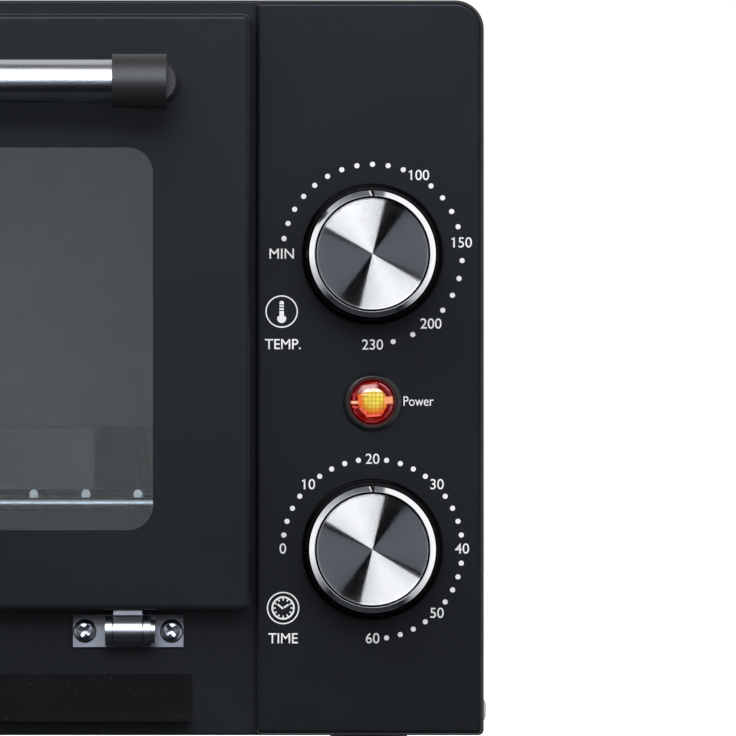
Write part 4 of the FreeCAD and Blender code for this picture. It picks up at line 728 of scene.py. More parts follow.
def stage_sheet(name, points, finish):
    """A flat sheet of the stage, from its four corners."""
    mesh = bpy.data.meshes.new(name)
    mesh.from_pydata(points, [], [(0, 1, 2, 3)])
    mesh.materials.append(finish)
    sheet = add_object(name, mesh)
    return sheet


class OVEN_OT_stage(bpy.types.Operator):
    """Floor, soft lamps, studio surroundings and camera"""

    bl_idname = "oven.stage"
    bl_label = "Stage"

    def execute(self, context):
        stage = context.scene.oven_stage
        context.scene.view_settings.view_transform = "Standard"
        self.make_world(context.scene)
        self.make_floor(stage)
        self.make_board()
        leave_out(frame["nodes"]["outer_cover"], SHEEN)
        self.make_lamps()
        self.make_camera(context.scene, stage)
        return {"FINISHED"}

    def make_world(self, scene):
        """White where the camera or glass looks, a dark studio with soft boxes where metal does."""
        world = bpy.data.worlds.new("studio")
        world.use_nodes = True
        scene.world = world
        tree = world.node_tree
        tree.nodes.clear()
        away = add(tree, "ShaderNodeTexCoord").outputs["Generated"]
        parts = add(tree, "ShaderNodeSeparateXYZ", {"Vector": away}).outputs
        turn = calc(tree, "ARCTAN2", parts["Z"], parts["X"])
        share = calc(tree, "FRACT", calc(tree, "DIVIDE", turn, TURN))
        ahead = calc(tree, "MULTIPLY", parts["Y"], -1.0)
        bands = (  # cosine from straight ahead: where each band starts and where it is full
            (0.985, 0.965, studio_ramp(tree, share, FACE_LIGHT, 2.8)),
            (0.76, 0.68, studio_ramp(tree, share, EDGE_LIGHT, 2.8)),
            (0.56, 0.48, studio_ramp(tree, share, RIM_LIGHT, 1.08)),
            (-0.3, -0.4, linear("#e6e6e6")),
        )
        level = linear("#0e0f10")
        for start, full, light in bands:
            level = mix(tree, spread(tree, ahead, start, full), level, light)
        metal, soft, white = (
            add(tree, "ShaderNodeBackground", {"Color": light, "Strength": strength}).outputs[0]
            for light, strength in ((level, 1.0), (linear("#ffffff"), 0.2), (linear("#ffffff"), 1.0))
        )
        path = add(tree, "ShaderNodeLightPath").outputs
        lit = blend(tree, path["Is Glossy Ray"], soft, metal)
        seen = calc(tree, "MAXIMUM", path["Is Camera Ray"], path["Is Transmission Ray"])
        add(tree, "ShaderNodeOutputWorld", {"Surface": blend(tree, seen, lit, white)})

    def make_floor(self, stage):
        half = stage.floor_half
        item, tree, shader = material("pale_table", linear("#a8a8a8"), Roughness=0.6)
        path = add(tree, "ShaderNodeLightPath").outputs
        away = length_of(tree, add(tree, "ShaderNodeTexCoord").outputs["Object"])
        white = spread(tree, away, *FLOOR_FADE, *FLOOR_WHITE)
        lift, nothing = (
            add(tree, "ShaderNodeEmission", {"Strength": strength}).outputs[0] for strength in (white, 0.0)
        )
        seen = blend(tree, path["Is Camera Ray"], nothing, lift)
        table = add(tree, "ShaderNodeAddShader", {0: shader.outputs[0], 1: seen})
        tree.links.new(table.outputs[0], tree.nodes["Material Output"].inputs["Surface"])
        floor = stage_sheet("floor", [(-half, -half, 0), (half, -half, 0), (half, half, 0), (-half, half, 0)],
                            item)
        floor.visible_glossy = False

    def make_board(self):
        """A pale board over the front edge, for gloss alone: it keeps the knobs' studio off the top."""
        low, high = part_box("outer_cover")
        foot = high.z + BOARD_GAP
        corners = [
            (side * BOARD_HALF, low.y, foot + rise)
            for side, rise in ((-1, 0), (1, 0), (1, BOARD_RISE), (-1, BOARD_RISE))
        ]
        item, tree, _ = material("pale_board", linear("#000000"), Roughness=1.0)
        glow = add(tree, "ShaderNodeEmission", {"Color": linear("#e6e6e6"), "Strength": 1.0})
        tree.links.new(glow.outputs[0], tree.nodes["Material Output"].inputs["Surface"])
        board = stage_sheet("board", corners, item)
        board.visible_camera = board.visible_diffuse = board.visible_transmission = False
        board.visible_shadow = False

    def make_lamps(self):
        """Soft boxes: name, place, target, width, height, power, and if matt and gloss show them."""
        boxes = (
            ("key_box", (-0.03, -0.62, 0.62), (0.1, -0.12, 0.12), 0.7, 0.45, 2.6, True, True),
            ("fill_box", (0.5, -1.3, 0.12), (0.15, -0.12, 0.1), 1.0, 0.8, 9.6, True, False),
            ("sheen_box", (0.15, -1.5, 0.62), (0.15, -0.12, 0.15), 0.8, 0.25, 9.0, False, True),
            ("left_box", (-1.5, 0.3, 0.9), (-0.1, 0, 0.1), 1.2, 1.0, 12, True, False),
            ("right_box", (1.5, 0.3, 0.9), (0.1, 0, 0.1), 1.2, 1.0, 12, True, False),
            ("rear_box", (0.3, 1.6, 1.1), (0, 0.1, 0.1), 1.4, 1.0, 14, True, False),
        )
        for name, spot, target, width, height, power, on_matt, on_gloss in boxes:
            lamp = bpy.data.lights.new(name, "AREA")
            lamp.shape = "RECTANGLE"
            lamp.size = width
            lamp.size_y = height
            lamp.energy = power
            lamp.color = (1, 1, 1) if on_matt else (0.85, 0.95, 1.2)
            box = add_object(name, lamp)
            box.location = spot
            aim = (Vector(target) - Vector(spot)).to_track_quat("-Z", "Y")
            box.rotation_euler = aim.to_euler()
            box.visible_camera = False
            box.visible_diffuse = on_matt
            box.visible_glossy = on_gloss
            box.light_linking.receiver_collection = left_out(LAMPS if on_matt else SHEEN)

    def make_camera(self, scene, stage):
        data = bpy.data.cameras.new("camera")
        camera = add_object("camera", data)
        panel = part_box("control_panel")[0].y
        camera.location = (stage.view_middle, panel - stage.camera_distance, stage.view_height)
        camera.rotation_euler = (math.pi / 2, 0, 0)
        data.lens = data.sensor_width * stage.camera_distance / stage.view_field
        data.clip_end = 100
        scene.camera = camera


# Finishes of the CAD nodes
def dress(finish, *nodes):
    for node in nodes:
        slots = frame["nodes"][node].data.materials
        slots.clear()
        slots.append(finish)


FINISHES = (  # material, its name, its colour, its further values, and the CAD nodes that have it
    (zinc_plate, "bright_zinc_plate", "#b4b7ba", (),
     "base_plate foot_screws cover_screws heater_links crumb_guides hinge_brackets hinge_pins "
     "hinge_screws hinge_leaves spring_anchors control_straps control_screws bell_screw earth_screw "
     "door_arms handle_screws"),
    (aluminised_sheet, "aluminised_steel_sheet", "#a9abac", (),
     "cavity_left_wall cavity_right_wall cavity_top cavity_back heat_shield"),
    (vitreous_enamel, "black_vitreous_enamel", "#17181a", (), "crumb_tray baking_tray glass_retainer"),
    (chrome_plate, "bright_chrome_plate", "#d2d4d6", (), "wire_rack"),
    (chrome_plate, "nickel_plated_gong", "#c9c6bd", (0.14,), "timer_bell"),
    (brushed_stainless, "brushed_stainless_tube", "#c4c6c8", (), "handle_bar"),
    (heater_sheath, "annealed_heater_sheath", "#6f6a66", (), "upper_heaters lower_heaters"),
    (steatite, "unglazed_steatite", "#e2dccc", (), "heater_bushes"),
    (moulded_rubber, "moulded_foot_rubber", "#1a1a1b", (), "feet"),
    (moulded_plastic, "matt_moulded_pbt", "#18181a", (0.5,),
     "handle_posts rear_spacers cord_gland gland_nut"),
    (float_glass, "toughened_float_glass", "#9da3a6", (), "door_glass"),
    (drawn_steel, "ground_shaft_steel", "#b2b4b6", (), "thermostat_shaft timer_shaft"),
    (drawn_steel, "hard_spring_steel", "#70757c", (0.32,), "bell_hammer lamp_clip door_springs"),
    (moulded_plastic, "brown_phenolic", "#2e2620", (0.45,), "thermostat_body"),
    (moulded_plastic, "white_moulded_pbt", "#dedcd4", (0.45,), "timer_case lamp_holder terminal_block"),
    (woven_sleeve, "glass_fibre_sleeve", "#c4c0b8", (), "wiring"),
    (neon_glass, "neon_bulb_glass", "#5a2a18", (), "neon_bulb"),
)


class OVEN_OT_finishes(bpy.types.Operator):
    """Gives every CAD piece the finish of what it is made of"""

    bl_idname = "oven.finishes"
    bl_label = "Finishes"

    def execute(self, context):
        colours = context.scene.oven_colours
        paint = powder_coat("powder_coat_casing", (*colours.paint, 1))
        dress(paint, "front_frame", "outer_cover", "rear_cover", "door_frame")
        dress(powder_coat("powder_coat_panel", (*colours.panel, 1), roughness=0.3), "control_panel")
        for make, name, hex_colour, values, nodes in FINISHES:
            dress(make(name, linear(hex_colour), *values), *nodes.split())
        gloss = moulded_plastic("gloss_moulded_abs", (*colours.black, 1), 0.16, 1.2, 0.002)
        dress(
            gloss, "lamp_bezel", "lamp_lens", "temperature_knob_skirt", "timer_knob_skirt",
            "temperature_knob_rim", "timer_knob_rim", "temperature_knob_cap", "timer_knob_cap",
        )
        return {"FINISHED"}


# Knobs
KNOBS = (("temperature", "temperature_control"), ("timer", "timer_control"))  # name, body
SKIRT_PROFILE = (  # radius and height in mm: from the back outwards, forwards and in to the seat
    (5.6, 1.0), (5.6, 12.5), (15.9, 12.5), (17.5, 0.0), (19.6, 0.0), (19.6, 2.9), (18.75, 3.3),
    (18.05, 14.2), (15.9, 14.2), (15.9, 17.2), (3.4, 17.2), (3.4, 1.0),
)
SKIRT_CUTS = 0.1, 0.3, 0.3, 0.2, 0.5, 0.45, 0.1, 0.3, 0.05, 0.3, 0.2, 0.1  # mm off its corners
RIM_BACK, FACE_BACK = 14.25 * MM, 17.25 * MM  # heights of the back of the rim and of the spun face
RIM_CUTS = 0.05, 0.03, 0.04, 0.03, 0.05, 0.05  # mm off its corners
NOTCH_SLIVER = 0.0008  # turn, in radians, over which the notch's sides step back


class OVEN_OT_knobs(bpy.types.Operator):
    """Skirt, polished rim with its pointer, and spun face of both knobs"""

    bl_idname = "oven.knobs"
    bl_label = "Knobs"

    def execute(self, context):
        sizes = context.scene.oven_knobs
        colours = context.scene.oven_colours
        black, face = (*colours.black, 1), linear("#eceef2")
        parts = (
            (self.make_skirt, moulded_plastic("gloss_black_abs", black, 0.16, 1.2, 0.001, 0.03)),
            (self.make_rim, chrome_plate("polished_chrome_rim", linear("#f2f3f5"), 0.1)),
            (self.make_face, spun_aluminium("spun_aluminium_face", face, sizes.cap_radius)),
            (self.make_pointer, screen_ink("pointer_ink", linear("#ffffff"))),
        )
        for name, body in KNOBS:
            for make, finish in parts:
                make(name, body, seat_of(f"{name}_knob_skirt"), sizes, finish)
        return {"FINISHED"}

    def make_skirt(self, name, body, centre, sizes, finish):
        outline = eased(np.array(SKIRT_PROFILE) * MM, np.array(SKIRT_CUTS) * MM)
        shape = ring_grid(turned(outline, centre, round_steps(sizes.columns)))
        make_piece(f"{name}_knob_skirt_moulding", shape, finish, body,
                   (f"{name}_knob_skirt",))

    def make_rim(self, name, body, centre, sizes, finish):
        """A bevelled ring; at the pointer its front rows step back by the notch's depth."""
        outer, inner, level = sizes.rim_radius, sizes.rim_inner, sizes.rim_level
        corners = np.array([
            (inner, RIM_BACK), (inner, level - 0.1 * MM), (inner + 0.1 * MM, level),
            (outer - 0.05 * MM, level - sizes.rim_slope), (outer, level - sizes.rim_slope - 0.2 * MM),
            (outer, RIM_BACK),
        ])
        outline = eased(corners, np.array(RIM_CUTS) * MM, 5)
        half = sizes.notch_width / 2 / outer
        sliver = NOTCH_SLIVER
        even_angles = round_steps(sizes.columns)
        marks = math.pi / 2 + np.array([-half - sliver, -half, half, half + sliver])
        near = np.abs(even_angles - math.pi / 2) < half + 2 * sliver
        within = math.pi / 2 + half * np.array([-0.4, 0.4])
        angles = np.sort(np.concatenate([even_angles[~near], marks, within]))
        points = turned(outline, centre, angles)
        inside = np.abs(angles - math.pi / 2) <= half + sliver / 2
        floor_y = centre[1] - (level - sizes.notch_depth)
        points[:, inside, 1] = np.maximum(points[:, inside, 1], floor_y)
        piece = make_piece(f"{name}_knob_polished_rim", ring_grid(points), finish, body,
                           (f"{name}_knob_rim",))
        leave_out(piece, LAMPS, SHEEN)

    def make_face(self, name, body, centre, sizes, finish):
        """A disc with an eased edge and a hair's rise towards its middle."""
        level, radius = sizes.cap_level, sizes.cap_radius
        across = np.linspace(0.01, 0.96, 40) * radius
        top = np.stack([across, level - 0.05 * MM * (across / radius) ** 2], axis=1)
        edge = np.array([
            (radius - 0.16 * MM, level - 0.06 * MM), (radius - 0.05 * MM, level - 0.1 * MM),
            (radius, level - 0.2 * MM), (radius, FACE_BACK), (0.3 * radius, FACE_BACK),
        ])
        points = turned(np.vstack([top, edge]), centre, round_steps(sizes.columns))
        piece = make_piece(f"{name}_knob_spun_face", closed_grid(points), finish, body,
                           (f"{name}_knob_cap",))
        set_turning(piece, *points.shape[:2])
        leave_out(piece, LAMPS, SHEEN)

    def make_pointer(self, name, body, centre, sizes, finish):
        """A white line that slants into the notch: a bar with eased edges along its length."""
        start, end = sizes.rim_inner + 0.1 * MM, sizes.rim_radius - 0.1 * MM
        half = 0.17 * MM
        front = sizes.rim_level - 0.1 * MM
        back = sizes.rim_level - sizes.notch_depth
        outline = eased(
            [(-half, back), (half, back), (half, front), (-half, front)], np.full(4, 0.08 * MM), 4,
        )
        share = np.linspace(0, 1, 6)[:, None]
        x = centre[0] - sizes.notch_width * (0.2 + 0.5 * share) + outline[:, 0]
        y = centre[1] - outline[:, 1] + 0 * share + 0.5 * MM * share
        z = centre[2] + start + (end - start) * share + 0 * outline[:, 0]
        shape = closed_grid(np.stack([x, y, z], axis=2))
        make_piece(f"{name}_knob_pointer_line", shape, finish, body)


# Pilot lamp
DOME_POWER, GROOVE_POWER = 3.2, 6  # superellipse of the lens's section, sharpness of its grooves
GROOVE_FADE = 0.6 * MM  # over which the grooves end
BEZEL_PROFILE = (6.6, 0.0), (6.6, 1.3), (6.9, 1.8), (7.4, 1.55), (8.1, 0.8), (8.1, 0.0)  # mm
BEZEL_CUTS = 0.05, 0.12, 0.14, 0.25, 0.12, 0.05  # mm off its corners


class OVEN_OT_lamp(bpy.types.Operator):
    """Pilot lamp: waffled lens and its bezel"""

    bl_idname = "oven.lamp"
    bl_label = "Pilot lamp"

    def execute(self, context):
        lamp = context.scene.oven_lamp
        colours = context.scene.oven_colours
        centre = seat_of("lamp_lens")
        finish = lit_lens("lit_red_polycarbonate", lamp, colours)
        self.make_lens(lamp, centre, finish)
        self.make_bezel(centre)
        return {"FINISHED"}

    def make_lens(self, lamp, centre, finish):
        """A dome, a superellipse in section, with grooves across it at every pitch both ways."""
        shares = np.concatenate([np.linspace(0.01, 0.9, 72), np.linspace(0.91, 1.0, 12)])
        angles = round_steps(180)
        radius = shares * lamp.lens_radius
        height = lamp.lens_rise * (1 - shares**DOME_POWER) ** (1 / DOME_POWER)
        points = turned(np.stack([radius, height], axis=1), centre, angles)
        x, z = points[..., 0] - centre[0], points[..., 2] - centre[2]
        groove = np.maximum(
            np.abs(np.cos(math.pi * x / lamp.waffle_pitch)), np.abs(np.cos(math.pi * z / lamp.waffle_pitch)),
        ) ** GROOVE_POWER
        fade = np.clip((lamp.waffle_reach - np.hypot(x, z)) / GROOVE_FADE, 0, 1)
        points[..., 1] += lamp.waffle_depth * groove * fade
        back = turned(np.array([(lamp.lens_radius, 0.0), (0.5 * lamp.lens_radius, 0.0)]), centre, angles)
        points = np.concatenate([points[:-1], back], axis=0)
        lens = make_piece("waffled_lamp_lens", closed_grid(points), finish, "housing",
                          ("lamp_lens",), crease=80)
        lens.visible_glossy = False

    def make_bezel(self, centre):
        base = (centre[0], seat_of("lamp_bezel")[1], centre[2])
        outline = eased(np.array(BEZEL_PROFILE) * MM, np.array(BEZEL_CUTS) * MM, 5)
        shape = ring_grid(turned(outline, base, round_steps(144)))
        finish = moulded_plastic("satin_dark_bezel", linear("#1c1e21"), 0.34, 0.8, 0.002, 0.45)
        make_piece("lamp_bezel_ring", shape, finish, "housing", ("lamp_bezel",))


# Printing
TEMPERATURE_DOTS = (
    170, 160, 150, 140, 130, 120, 110, 100, 90, 80, 70, 49.4, 38.8, 28.4, 17.8, -4.1, -15.7, -27.2, -38.6,
    -63.4, -76.7,
)
TEMPERATURE_WORDS = (("MIN", 180, 1.01), ("100", 59.6, 1.014), ("150", 7.2, 0.996), ("200", -50.1, 1.014),
                     ("230", -90, 1.012))  # word, degrees, reach as a share of the dots' circle
MINUTE_TURN = 4.5  # degrees
THERMOMETER, CLOCK = (-25.2, -15.9), (-24.8, -16.35)  # mm from their knob's middle
INK_SINK = 0.005 * MM  # of the film into the panel
CAPITAL_SHARE = 0.729  # capital height of the built-in letters at size 1


def polar(x, z, degrees, reach):
    """The place at a distance from a middle, by degrees anticlockwise from the right."""
    return x + reach * math.cos(math.radians(degrees)), z + reach * math.sin(math.radians(degrees))


def ring_outline(x, z, radius, steps):
    angles = round_steps(steps)
    return np.stack([x + radius * np.cos(angles), z + radius * np.sin(angles)], axis=1)


def bar_outline(x, z, degrees, start, end, width):
    """A bar that points away from a middle at an angle, between two distances."""
    along = np.array(polar(0, 0, degrees, 1))
    across = np.array([-along[1], along[0]]) * width / 2
    return np.array([x, z]) + np.array([
        along * start - across, along * end - across, along * end + across, along * start + across,
    ])


def flat_curve(outlines, film):
    """A filled flat curve through closed outlines; an outline inside another is a hole."""
    curve = bpy.data.curves.new("ink", "CURVE")
    curve.dimensions = "2D"
    curve.fill_mode = "BOTH"
    curve.extrude = film / 2
    for outline in outlines:
        spline = curve.splines.new("POLY")
        spline.points.add(len(outline) - 1)
        flat = np.zeros((len(outline), 4))
        flat[:, :2] = outline
        spline.points.foreach_set("co", flat.ravel())
        spline.use_cyclic_u = True
    return curve


def text_curve(words, height, film, heavy=0.0):
    curve = bpy.data.curves.new("words", "FONT")
    curve.body = words
    curve.size = height / CAPITAL_SHARE
    curve.align_x = "CENTER"
    curve.align_y = "CENTER"
    curve.extrude = film / 2
    curve.offset = heavy
    return curve


def curve_mesh(curve, x, y, z, narrow=1.0):
    """A curve's mesh, stood up on the panel: its own X and Y become X and Z."""
    carrier = add_object("carrier", curve)
    shaped = carrier.evaluated_get(bpy.context.evaluated_depsgraph_get())
    mesh = bpy.data.meshes.new_from_object(shaped)
    points = points_of(mesh)
    stood = np.stack([x + points[:, 0] * narrow, y - points[:, 2], z + points[:, 1]], axis=1)
    mesh.vertices.foreach_set("co", stood.ravel())
    bpy.data.objects.remove(carrier)
    return mesh


def printed(name, meshes, finish):
    """One piece from several meshes, which rides on the housing."""
    merged = bmesh.new()
    for mesh in meshes:
        merged.from_mesh(mesh)
    bmesh.ops.remove_doubles(merged, verts=merged.verts, dist=1e-7)
    bmesh.ops.recalc_face_normals(merged, faces=merged.faces)
    whole = bpy.data.meshes.new(name)
    merged.to_mesh(whole)
    merged.free()
    whole.materials.append(finish)
    piece = add_object(name, whole)
    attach(piece, "housing")
    return piece


def knob_middle(name):
    return seat_of(f"{name}_knob_skirt")[::2]


class OVEN_OT_printing(bpy.types.Operator):
    """Scales, figures, words and pictograms on the control panel"""

    bl_idname = "oven.printing"
    bl_label = "Printing"

    def execute(self, context):
        sizes = context.scene.oven_print
        self.ink = screen_ink("white_screen_ink", (*context.scene.oven_colours.ink, 1))
        self.sizes = sizes
        self.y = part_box("control_panel")[0].y - sizes.film / 2 + INK_SINK
        self.make_scale("temperature", TEMPERATURE_DOTS, TEMPERATURE_WORDS)
        minutes = range(0, 61, 2)
        dots = [180 - MINUTE_TURN * minute for minute in minutes if minute % 10]
        words = [
            (str(minute), 180 - MINUTE_TURN * minute, 1.012 if minute % 20 else 0.998)
            for minute in minutes if not minute % 10
        ]
        self.make_scale("timer", dots, words)
        self.make_words()
        self.make_thermometer()
        self.make_clock()
        return {"FINISHED"}

    def words(self, text, x, z, height=None, heavy=0.0, narrow=1.0):
        height = height or self.sizes.figure_height
        return curve_mesh(text_curve(text, height, self.sizes.film, heavy), x, self.y, z, narrow)

    def flat(self, outlines):
        return curve_mesh(flat_curve(outlines, self.sizes.film), 0, self.y, 0)

    def flag(self, word):
        """The short slanted stroke at the top of a figure one that starts a word."""
        points = points_of(word)
        left, top = points[:, 0].min() + 0.2 * MM, points[:, 2].max() - 0.22 * MM
        return self.flat([bar_outline(left, top, 212, 0, 0.8 * MM, 0.36 * MM)])

    def make_scale(self, name, dots, words):
        x, z = knob_middle(name)
        reach = self.sizes.scale_radius
        radius = self.sizes.dot_radius
        meshes = [self.flat([ring_outline(*polar(x, z, dot, reach), radius, 24) for dot in dots])]
        for text, degrees, share in words:
            word = self.words(text, *polar(x, z, degrees, share * reach), heavy=0.02 * MM)
            meshes.append(word)
            if text.startswith("1"):
                meshes.append(self.flag(word))
        printed(f"{name}_scale", meshes, self.ink)

    def make_words(self):
        x, high = knob_middle("temperature")
        low = knob_middle("timer")[1]
        lamp_z = seat_of("lamp_lens")[2]
        meshes = [
            self.words("TEMP.", x - 24.8 * MM, high - 25.1 * MM, heavy=0.03 * MM, narrow=0.96),
            self.words("TIME", x - 24.8 * MM, low - 24.9 * MM, heavy=0.03 * MM, narrow=0.96),
            self.words("Power", x + 12.65 * MM, lamp_z + 0.1 * MM, 2.8 * MM, narrow=0.84),
        ]
        printed("function_words", meshes, self.ink)

    def make_thermometer(self):
        """A ring, and in it a tube of short bands over a round bulb."""
        x, z = np.add(knob_middle("temperature"), np.multiply(THERMOMETER, MM))
        outer = self.sizes.ring_radius
        outlines = [ring_outline(x, z, outer, 64), ring_outline(x, z, outer - self.sizes.stroke, 64)]
        width = 1.25 * MM
        for start, end in ((0.4, 0.95), (1.25, 1.7)):
            outlines.append(bar_outline(x, z, 90, start * MM, end * MM, width))
        round_end = ring_outline(x, z + 2.35 * MM, width / 2, 32)
        round_end[:, 1] = np.maximum(round_end[:, 1], z + 1.95 * MM)
        outlines.append(round_end)
        stem = bar_outline(x, z, 90, -1.3 * MM, 0.15 * MM, width)
        bulb = ring_outline(x, z - 1.95 * MM, 1.25 * MM, 32)
        above = bulb[:, 1] > z - 1.3 * MM
        bulb[above, 1] = z - 1.3 * MM
        outlines += [stem + np.array([0, 0.005 * MM]), bulb]
        printed("thermometer_pictogram", [self.flat(outlines)], self.ink)

    def make_clock(self):
        """Two rings, twelve ticks inside them and two hands."""
        x, z = np.add(knob_middle("timer"), np.multiply(CLOCK, MM))
        outer, stroke = self.sizes.ring_radius, self.sizes.stroke
        inner, heavy = 3.25 * MM, 0.5 * MM
        outlines = [
            ring_outline(x, z, outer, 64), ring_outline(x, z, outer - stroke, 64),
            ring_outline(x, z, inner, 56), ring_outline(x, z, inner - heavy, 56),
        ]
        rim = inner - heavy - 0.02 * MM
        outlines += [bar_outline(x, z, 30 * hour, rim - 0.66 * MM, rim, 0.38 * MM) for hour in range(12)]
        meet = x - 0.12 * MM, z - 0.1 * MM
        outlines.append(bar_outline(*meet, 141, -0.16 * MM, 1.8 * MM, heavy))
        outlines.append(bar_outline(*meet, 33, 0.42 * MM, 1.95 * MM, heavy))
        printed("clock_pictogram", [self.flat(outlines)], self.ink)


# Door springs
SPRING_WIRE, SPRING_COIL, SPRING_EYE = 0.33 * MM, 2.45 * MM, 2.2 * MM  # radii, to the wire's middle
SPRING_PITCH = 2.08  # in wire radii: close wound
EYE_INSET, COIL_INSET = 0.7 * MM, 3.14 * MM  # from the CAD springs' box to the eyes' ring and the axis


class OVEN_OT_springs(bpy.types.Operator):
    """Close-wound door springs with an eye at each end"""

    bl_idname = "oven.springs"
    bl_label = "Door springs"

    def execute(self, context):
        """A helix along Y between two rings: every part is a circle's sine and cosine."""
        low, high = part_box("door_springs")
        wire, coil, eye = SPRING_WIRE, SPRING_COIL, SPRING_EYE
        z = (low.z + high.z) / 2
        start, end = low.y + EYE_INSET + 2 * eye, high.y - EYE_INSET - 2 * eye
        turns = int((end - start) / (SPRING_PITCH * wire))
        steps = np.linspace(0, TURN * turns, turns * 20)
        helix = np.stack(
            [coil * np.sin(steps), start + (end - start) * steps / steps[-1], coil * np.cos(steps)], axis=1,
        )
        around = np.radians(np.linspace(80, 400, 28))
        eye_path = np.stack([eye * np.sin(around), start - eye + eye * np.cos(around), 0 * around], axis=1)
        far_path = eye_path[::-1] * [1, -1, 1] + [0, start + end, 0]
        path = np.vstack([eye_path, helix, far_path])
        upright = np.tile([0.0, 0.0, 1.0], (len(around), 1))
        side = np.vstack([upright, np.stack([np.sin(steps), 0 * steps, np.cos(steps)], axis=1), upright])
        shapes = [
            closed_grid(swept(path + [x, 0, z], wire, 8, side))
            for x in (low.x + COIL_INSET, high.x - COIL_INSET)
        ]
        finish = drawn_steel("oil_tempered_spring_wire", linear("#666b72"), 0.3)
        make_piece("wound_door_springs", join(shapes), finish, "housing", ("door_springs",))
        return {"FINISHED"}


# Screws
HEAD_STEPS = np.array([0.0, 0.13, 0.2, 0.36, 0.54, 0.61, 0.76, 0.88, 0.96, 1.0])  # shares of its radius
RECESS_RISE = 0.6  # share of the recess's depth that is lost towards the rim
HEAD_EDGE = 0.25  # height of the head's edge, as a share of its rise
TIP_SHARE = 0.4  # blunt tip, as a share of the shank's radius
SCREWS = {  # node: how the heads face, and where they stand, in mm
    "cover_screws": tuple(
        ((side, 0, 0), (side * 180, y, z)) for side in (-1, 1)
        for y, z in ((-80.75, 19.5), (108.25, 19.5), (137.25, 53), (137.25, 177))
    ),
    "hinge_screws": tuple(((0, -1, 0), (x, -114.25, 42)) for x in (-156, -132, 70.3, 94.3)),
    "foot_screws": tuple(((0, 0, -1), (x, y, 6)) for x in (-149, 149) for y in (-80.75, 108.25)),
}


def screw_shape(sizes, turn):
    """A cross-recessed pan head screw that stands on its seat, as (points, quads, triangles).

    The head is a square grid drawn out to a disc: x = u √(1 - v²/2), y = v √(1 - u²/2). Its height is
    a flattened dome, less two crossed bars with sloping sides. The rest is rings down to the tip.
    """
    steps = np.concatenate([-HEAD_STEPS[:0:-1], HEAD_STEPS])
    u, v = np.meshgrid(steps, steps, indexing="ij")
    x, y = u * np.sqrt(1 - v**2 / 2), v * np.sqrt(1 - u**2 / 2)
    away = np.minimum(np.hypot(x, y), 1)
    narrow, reach = HEAD_STEPS[2], HEAD_STEPS[5]
    slope = HEAD_STEPS[2] - HEAD_STEPS[1]
    bars = [
        np.clip((narrow - np.abs(across)) / slope, 0, 1) * np.clip((reach - np.abs(along)) / slope, 0, 1)
        for across, along in ((u, v), (v, u))
    ]
    cut = np.maximum(*bars) * sizes.recess_depth * (1 - RECESS_RISE * away)
    height = sizes.head_rise * (HEAD_EDGE + (1 - HEAD_EDGE) * np.sqrt(1 - away**4)) - cut
    grid = np.stack([x * sizes.head_radius, y * sizes.head_radius, height], axis=2)
    count = len(steps)
    numbers = np.arange(count * count).reshape(count, count)
    border = np.concatenate([numbers[:-1, 0], numbers[-1, :-1], numbers[:0:-1, -1], numbers[0, :0:-1]])
    rays = grid.reshape(-1, 3)[border, :2] / sizes.head_radius
    shank = sizes.shank_radius
    radii = np.array([sizes.head_radius, shank, shank, TIP_SHARE * shank])
    levels = np.array([0, 0, shank - sizes.screw_length, -sizes.screw_length])
    rings = np.concatenate([
        rays[None] * radii[:, None, None], np.broadcast_to(levels[:, None, None], (4, len(border), 1)),
    ], axis=2)
    points = np.vstack([grid.reshape(-1, 3), rings.reshape(-1, 3), [[0, 0, -sizes.screw_length]]])
    rows = np.vstack([border, count * count + np.arange(rings[..., 0].size).reshape(4, -1)])
    after = np.roll(rows, -1, axis=1)
    sides = np.stack([rows[:-1], rows[1:], after[1:], after[:-1]], axis=2).reshape(-1, 4)
    tip = np.stack([rows[-1], np.full(len(border), len(points) - 1), after[-1]], axis=1)
    turned_way = np.array([[np.cos(turn), np.sin(turn), 0], [-np.sin(turn), np.cos(turn), 0], [0, 0, 1]])
    return points @ turned_way, np.vstack([skin(grid, wrap_columns=False), sides]), tip


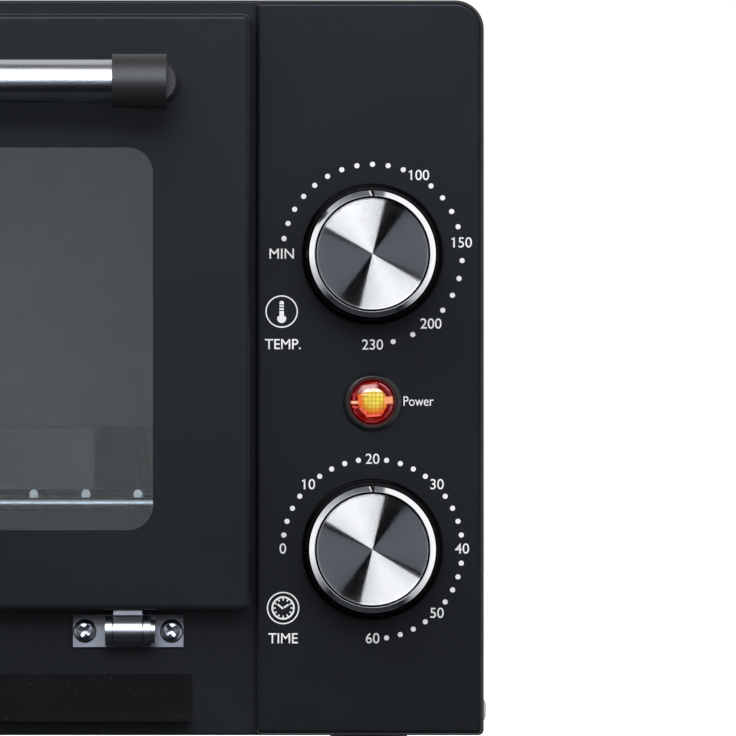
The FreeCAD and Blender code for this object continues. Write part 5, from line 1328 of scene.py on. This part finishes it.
class OVEN_OT_screws(bpy.types.Operator):
    """Cross-recessed screws of the cover, the hinges and the feet"""

    bl_idname = "oven.screws"
    bl_label = "Screws"

    def execute(self, context):
        sizes = context.scene.oven_screws
        finish = zinc_plate("bright_zinc_screws", linear("#b9bcbf"), 0.28)
        turns = np.random.default_rng(4).uniform(0, TURN / 4, sum(map(len, SCREWS.values()))).tolist()
        for node, screws in SCREWS.items():
            shapes = []
            for facing, seat in screws:
                points, quads, triangles = screw_shape(sizes, turns.pop())
                axes = np.roll(np.eye(3), np.flatnonzero(facing)[0], axis=1)
                placed = points[:, :1] * axes[1] + points[:, 1:2] * axes[2] + points[:, 2:] * np.array(facing)
                shapes.append(outward((placed + np.multiply(seat, MM), quads, triangles)))
            make_piece(f"cross_head_{node}", join(shapes), finish, "housing", (node,))
        return {"FINISHED"}


class OVEN_PT_panel(bpy.types.Panel):
    bl_label = "Oven"
    bl_idname = "OVEN_PT_panel"
    bl_space_type = "VIEW_3D"
    bl_region_type = "UI"
    bl_category = "Oven"

    def draw(self, context):
        for step in STEPS:
            self.layout.operator(step.bl_idname)


GROUPS = {
    "oven_colours": OvenColours,
    "oven_knobs": OvenKnobs,
    "oven_lamp": OvenLamp,
    "oven_print": OvenPrint,
    "oven_screws": OvenScrews,
    "oven_stage": OvenStage,
}
STEPS = (
    OVEN_OT_stage, OVEN_OT_finishes, OVEN_OT_knobs, OVEN_OT_lamp, OVEN_OT_printing, OVEN_OT_springs,
    OVEN_OT_screws,
)


def register():
    for item in (*GROUPS.values(), *STEPS, OVEN_PT_panel):
        bpy.utils.register_class(item)
    for name, group in GROUPS.items():
        setattr(bpy.types.Scene, name, PointerProperty(type=group))


def unregister():
    for name in GROUPS:
        delattr(bpy.types.Scene, name)
    for item in (OVEN_PT_panel, *STEPS[::-1], *list(GROUPS.values())[::-1]):
        bpy.utils.unregister_class(item)


def main():
    """Makes every piece in order."""
    register()
    for step in STEPS:
        space, name = step.bl_idname.split(".")
        getattr(getattr(bpy.ops, space), name)()


if __name__ == "__main__":
    main()
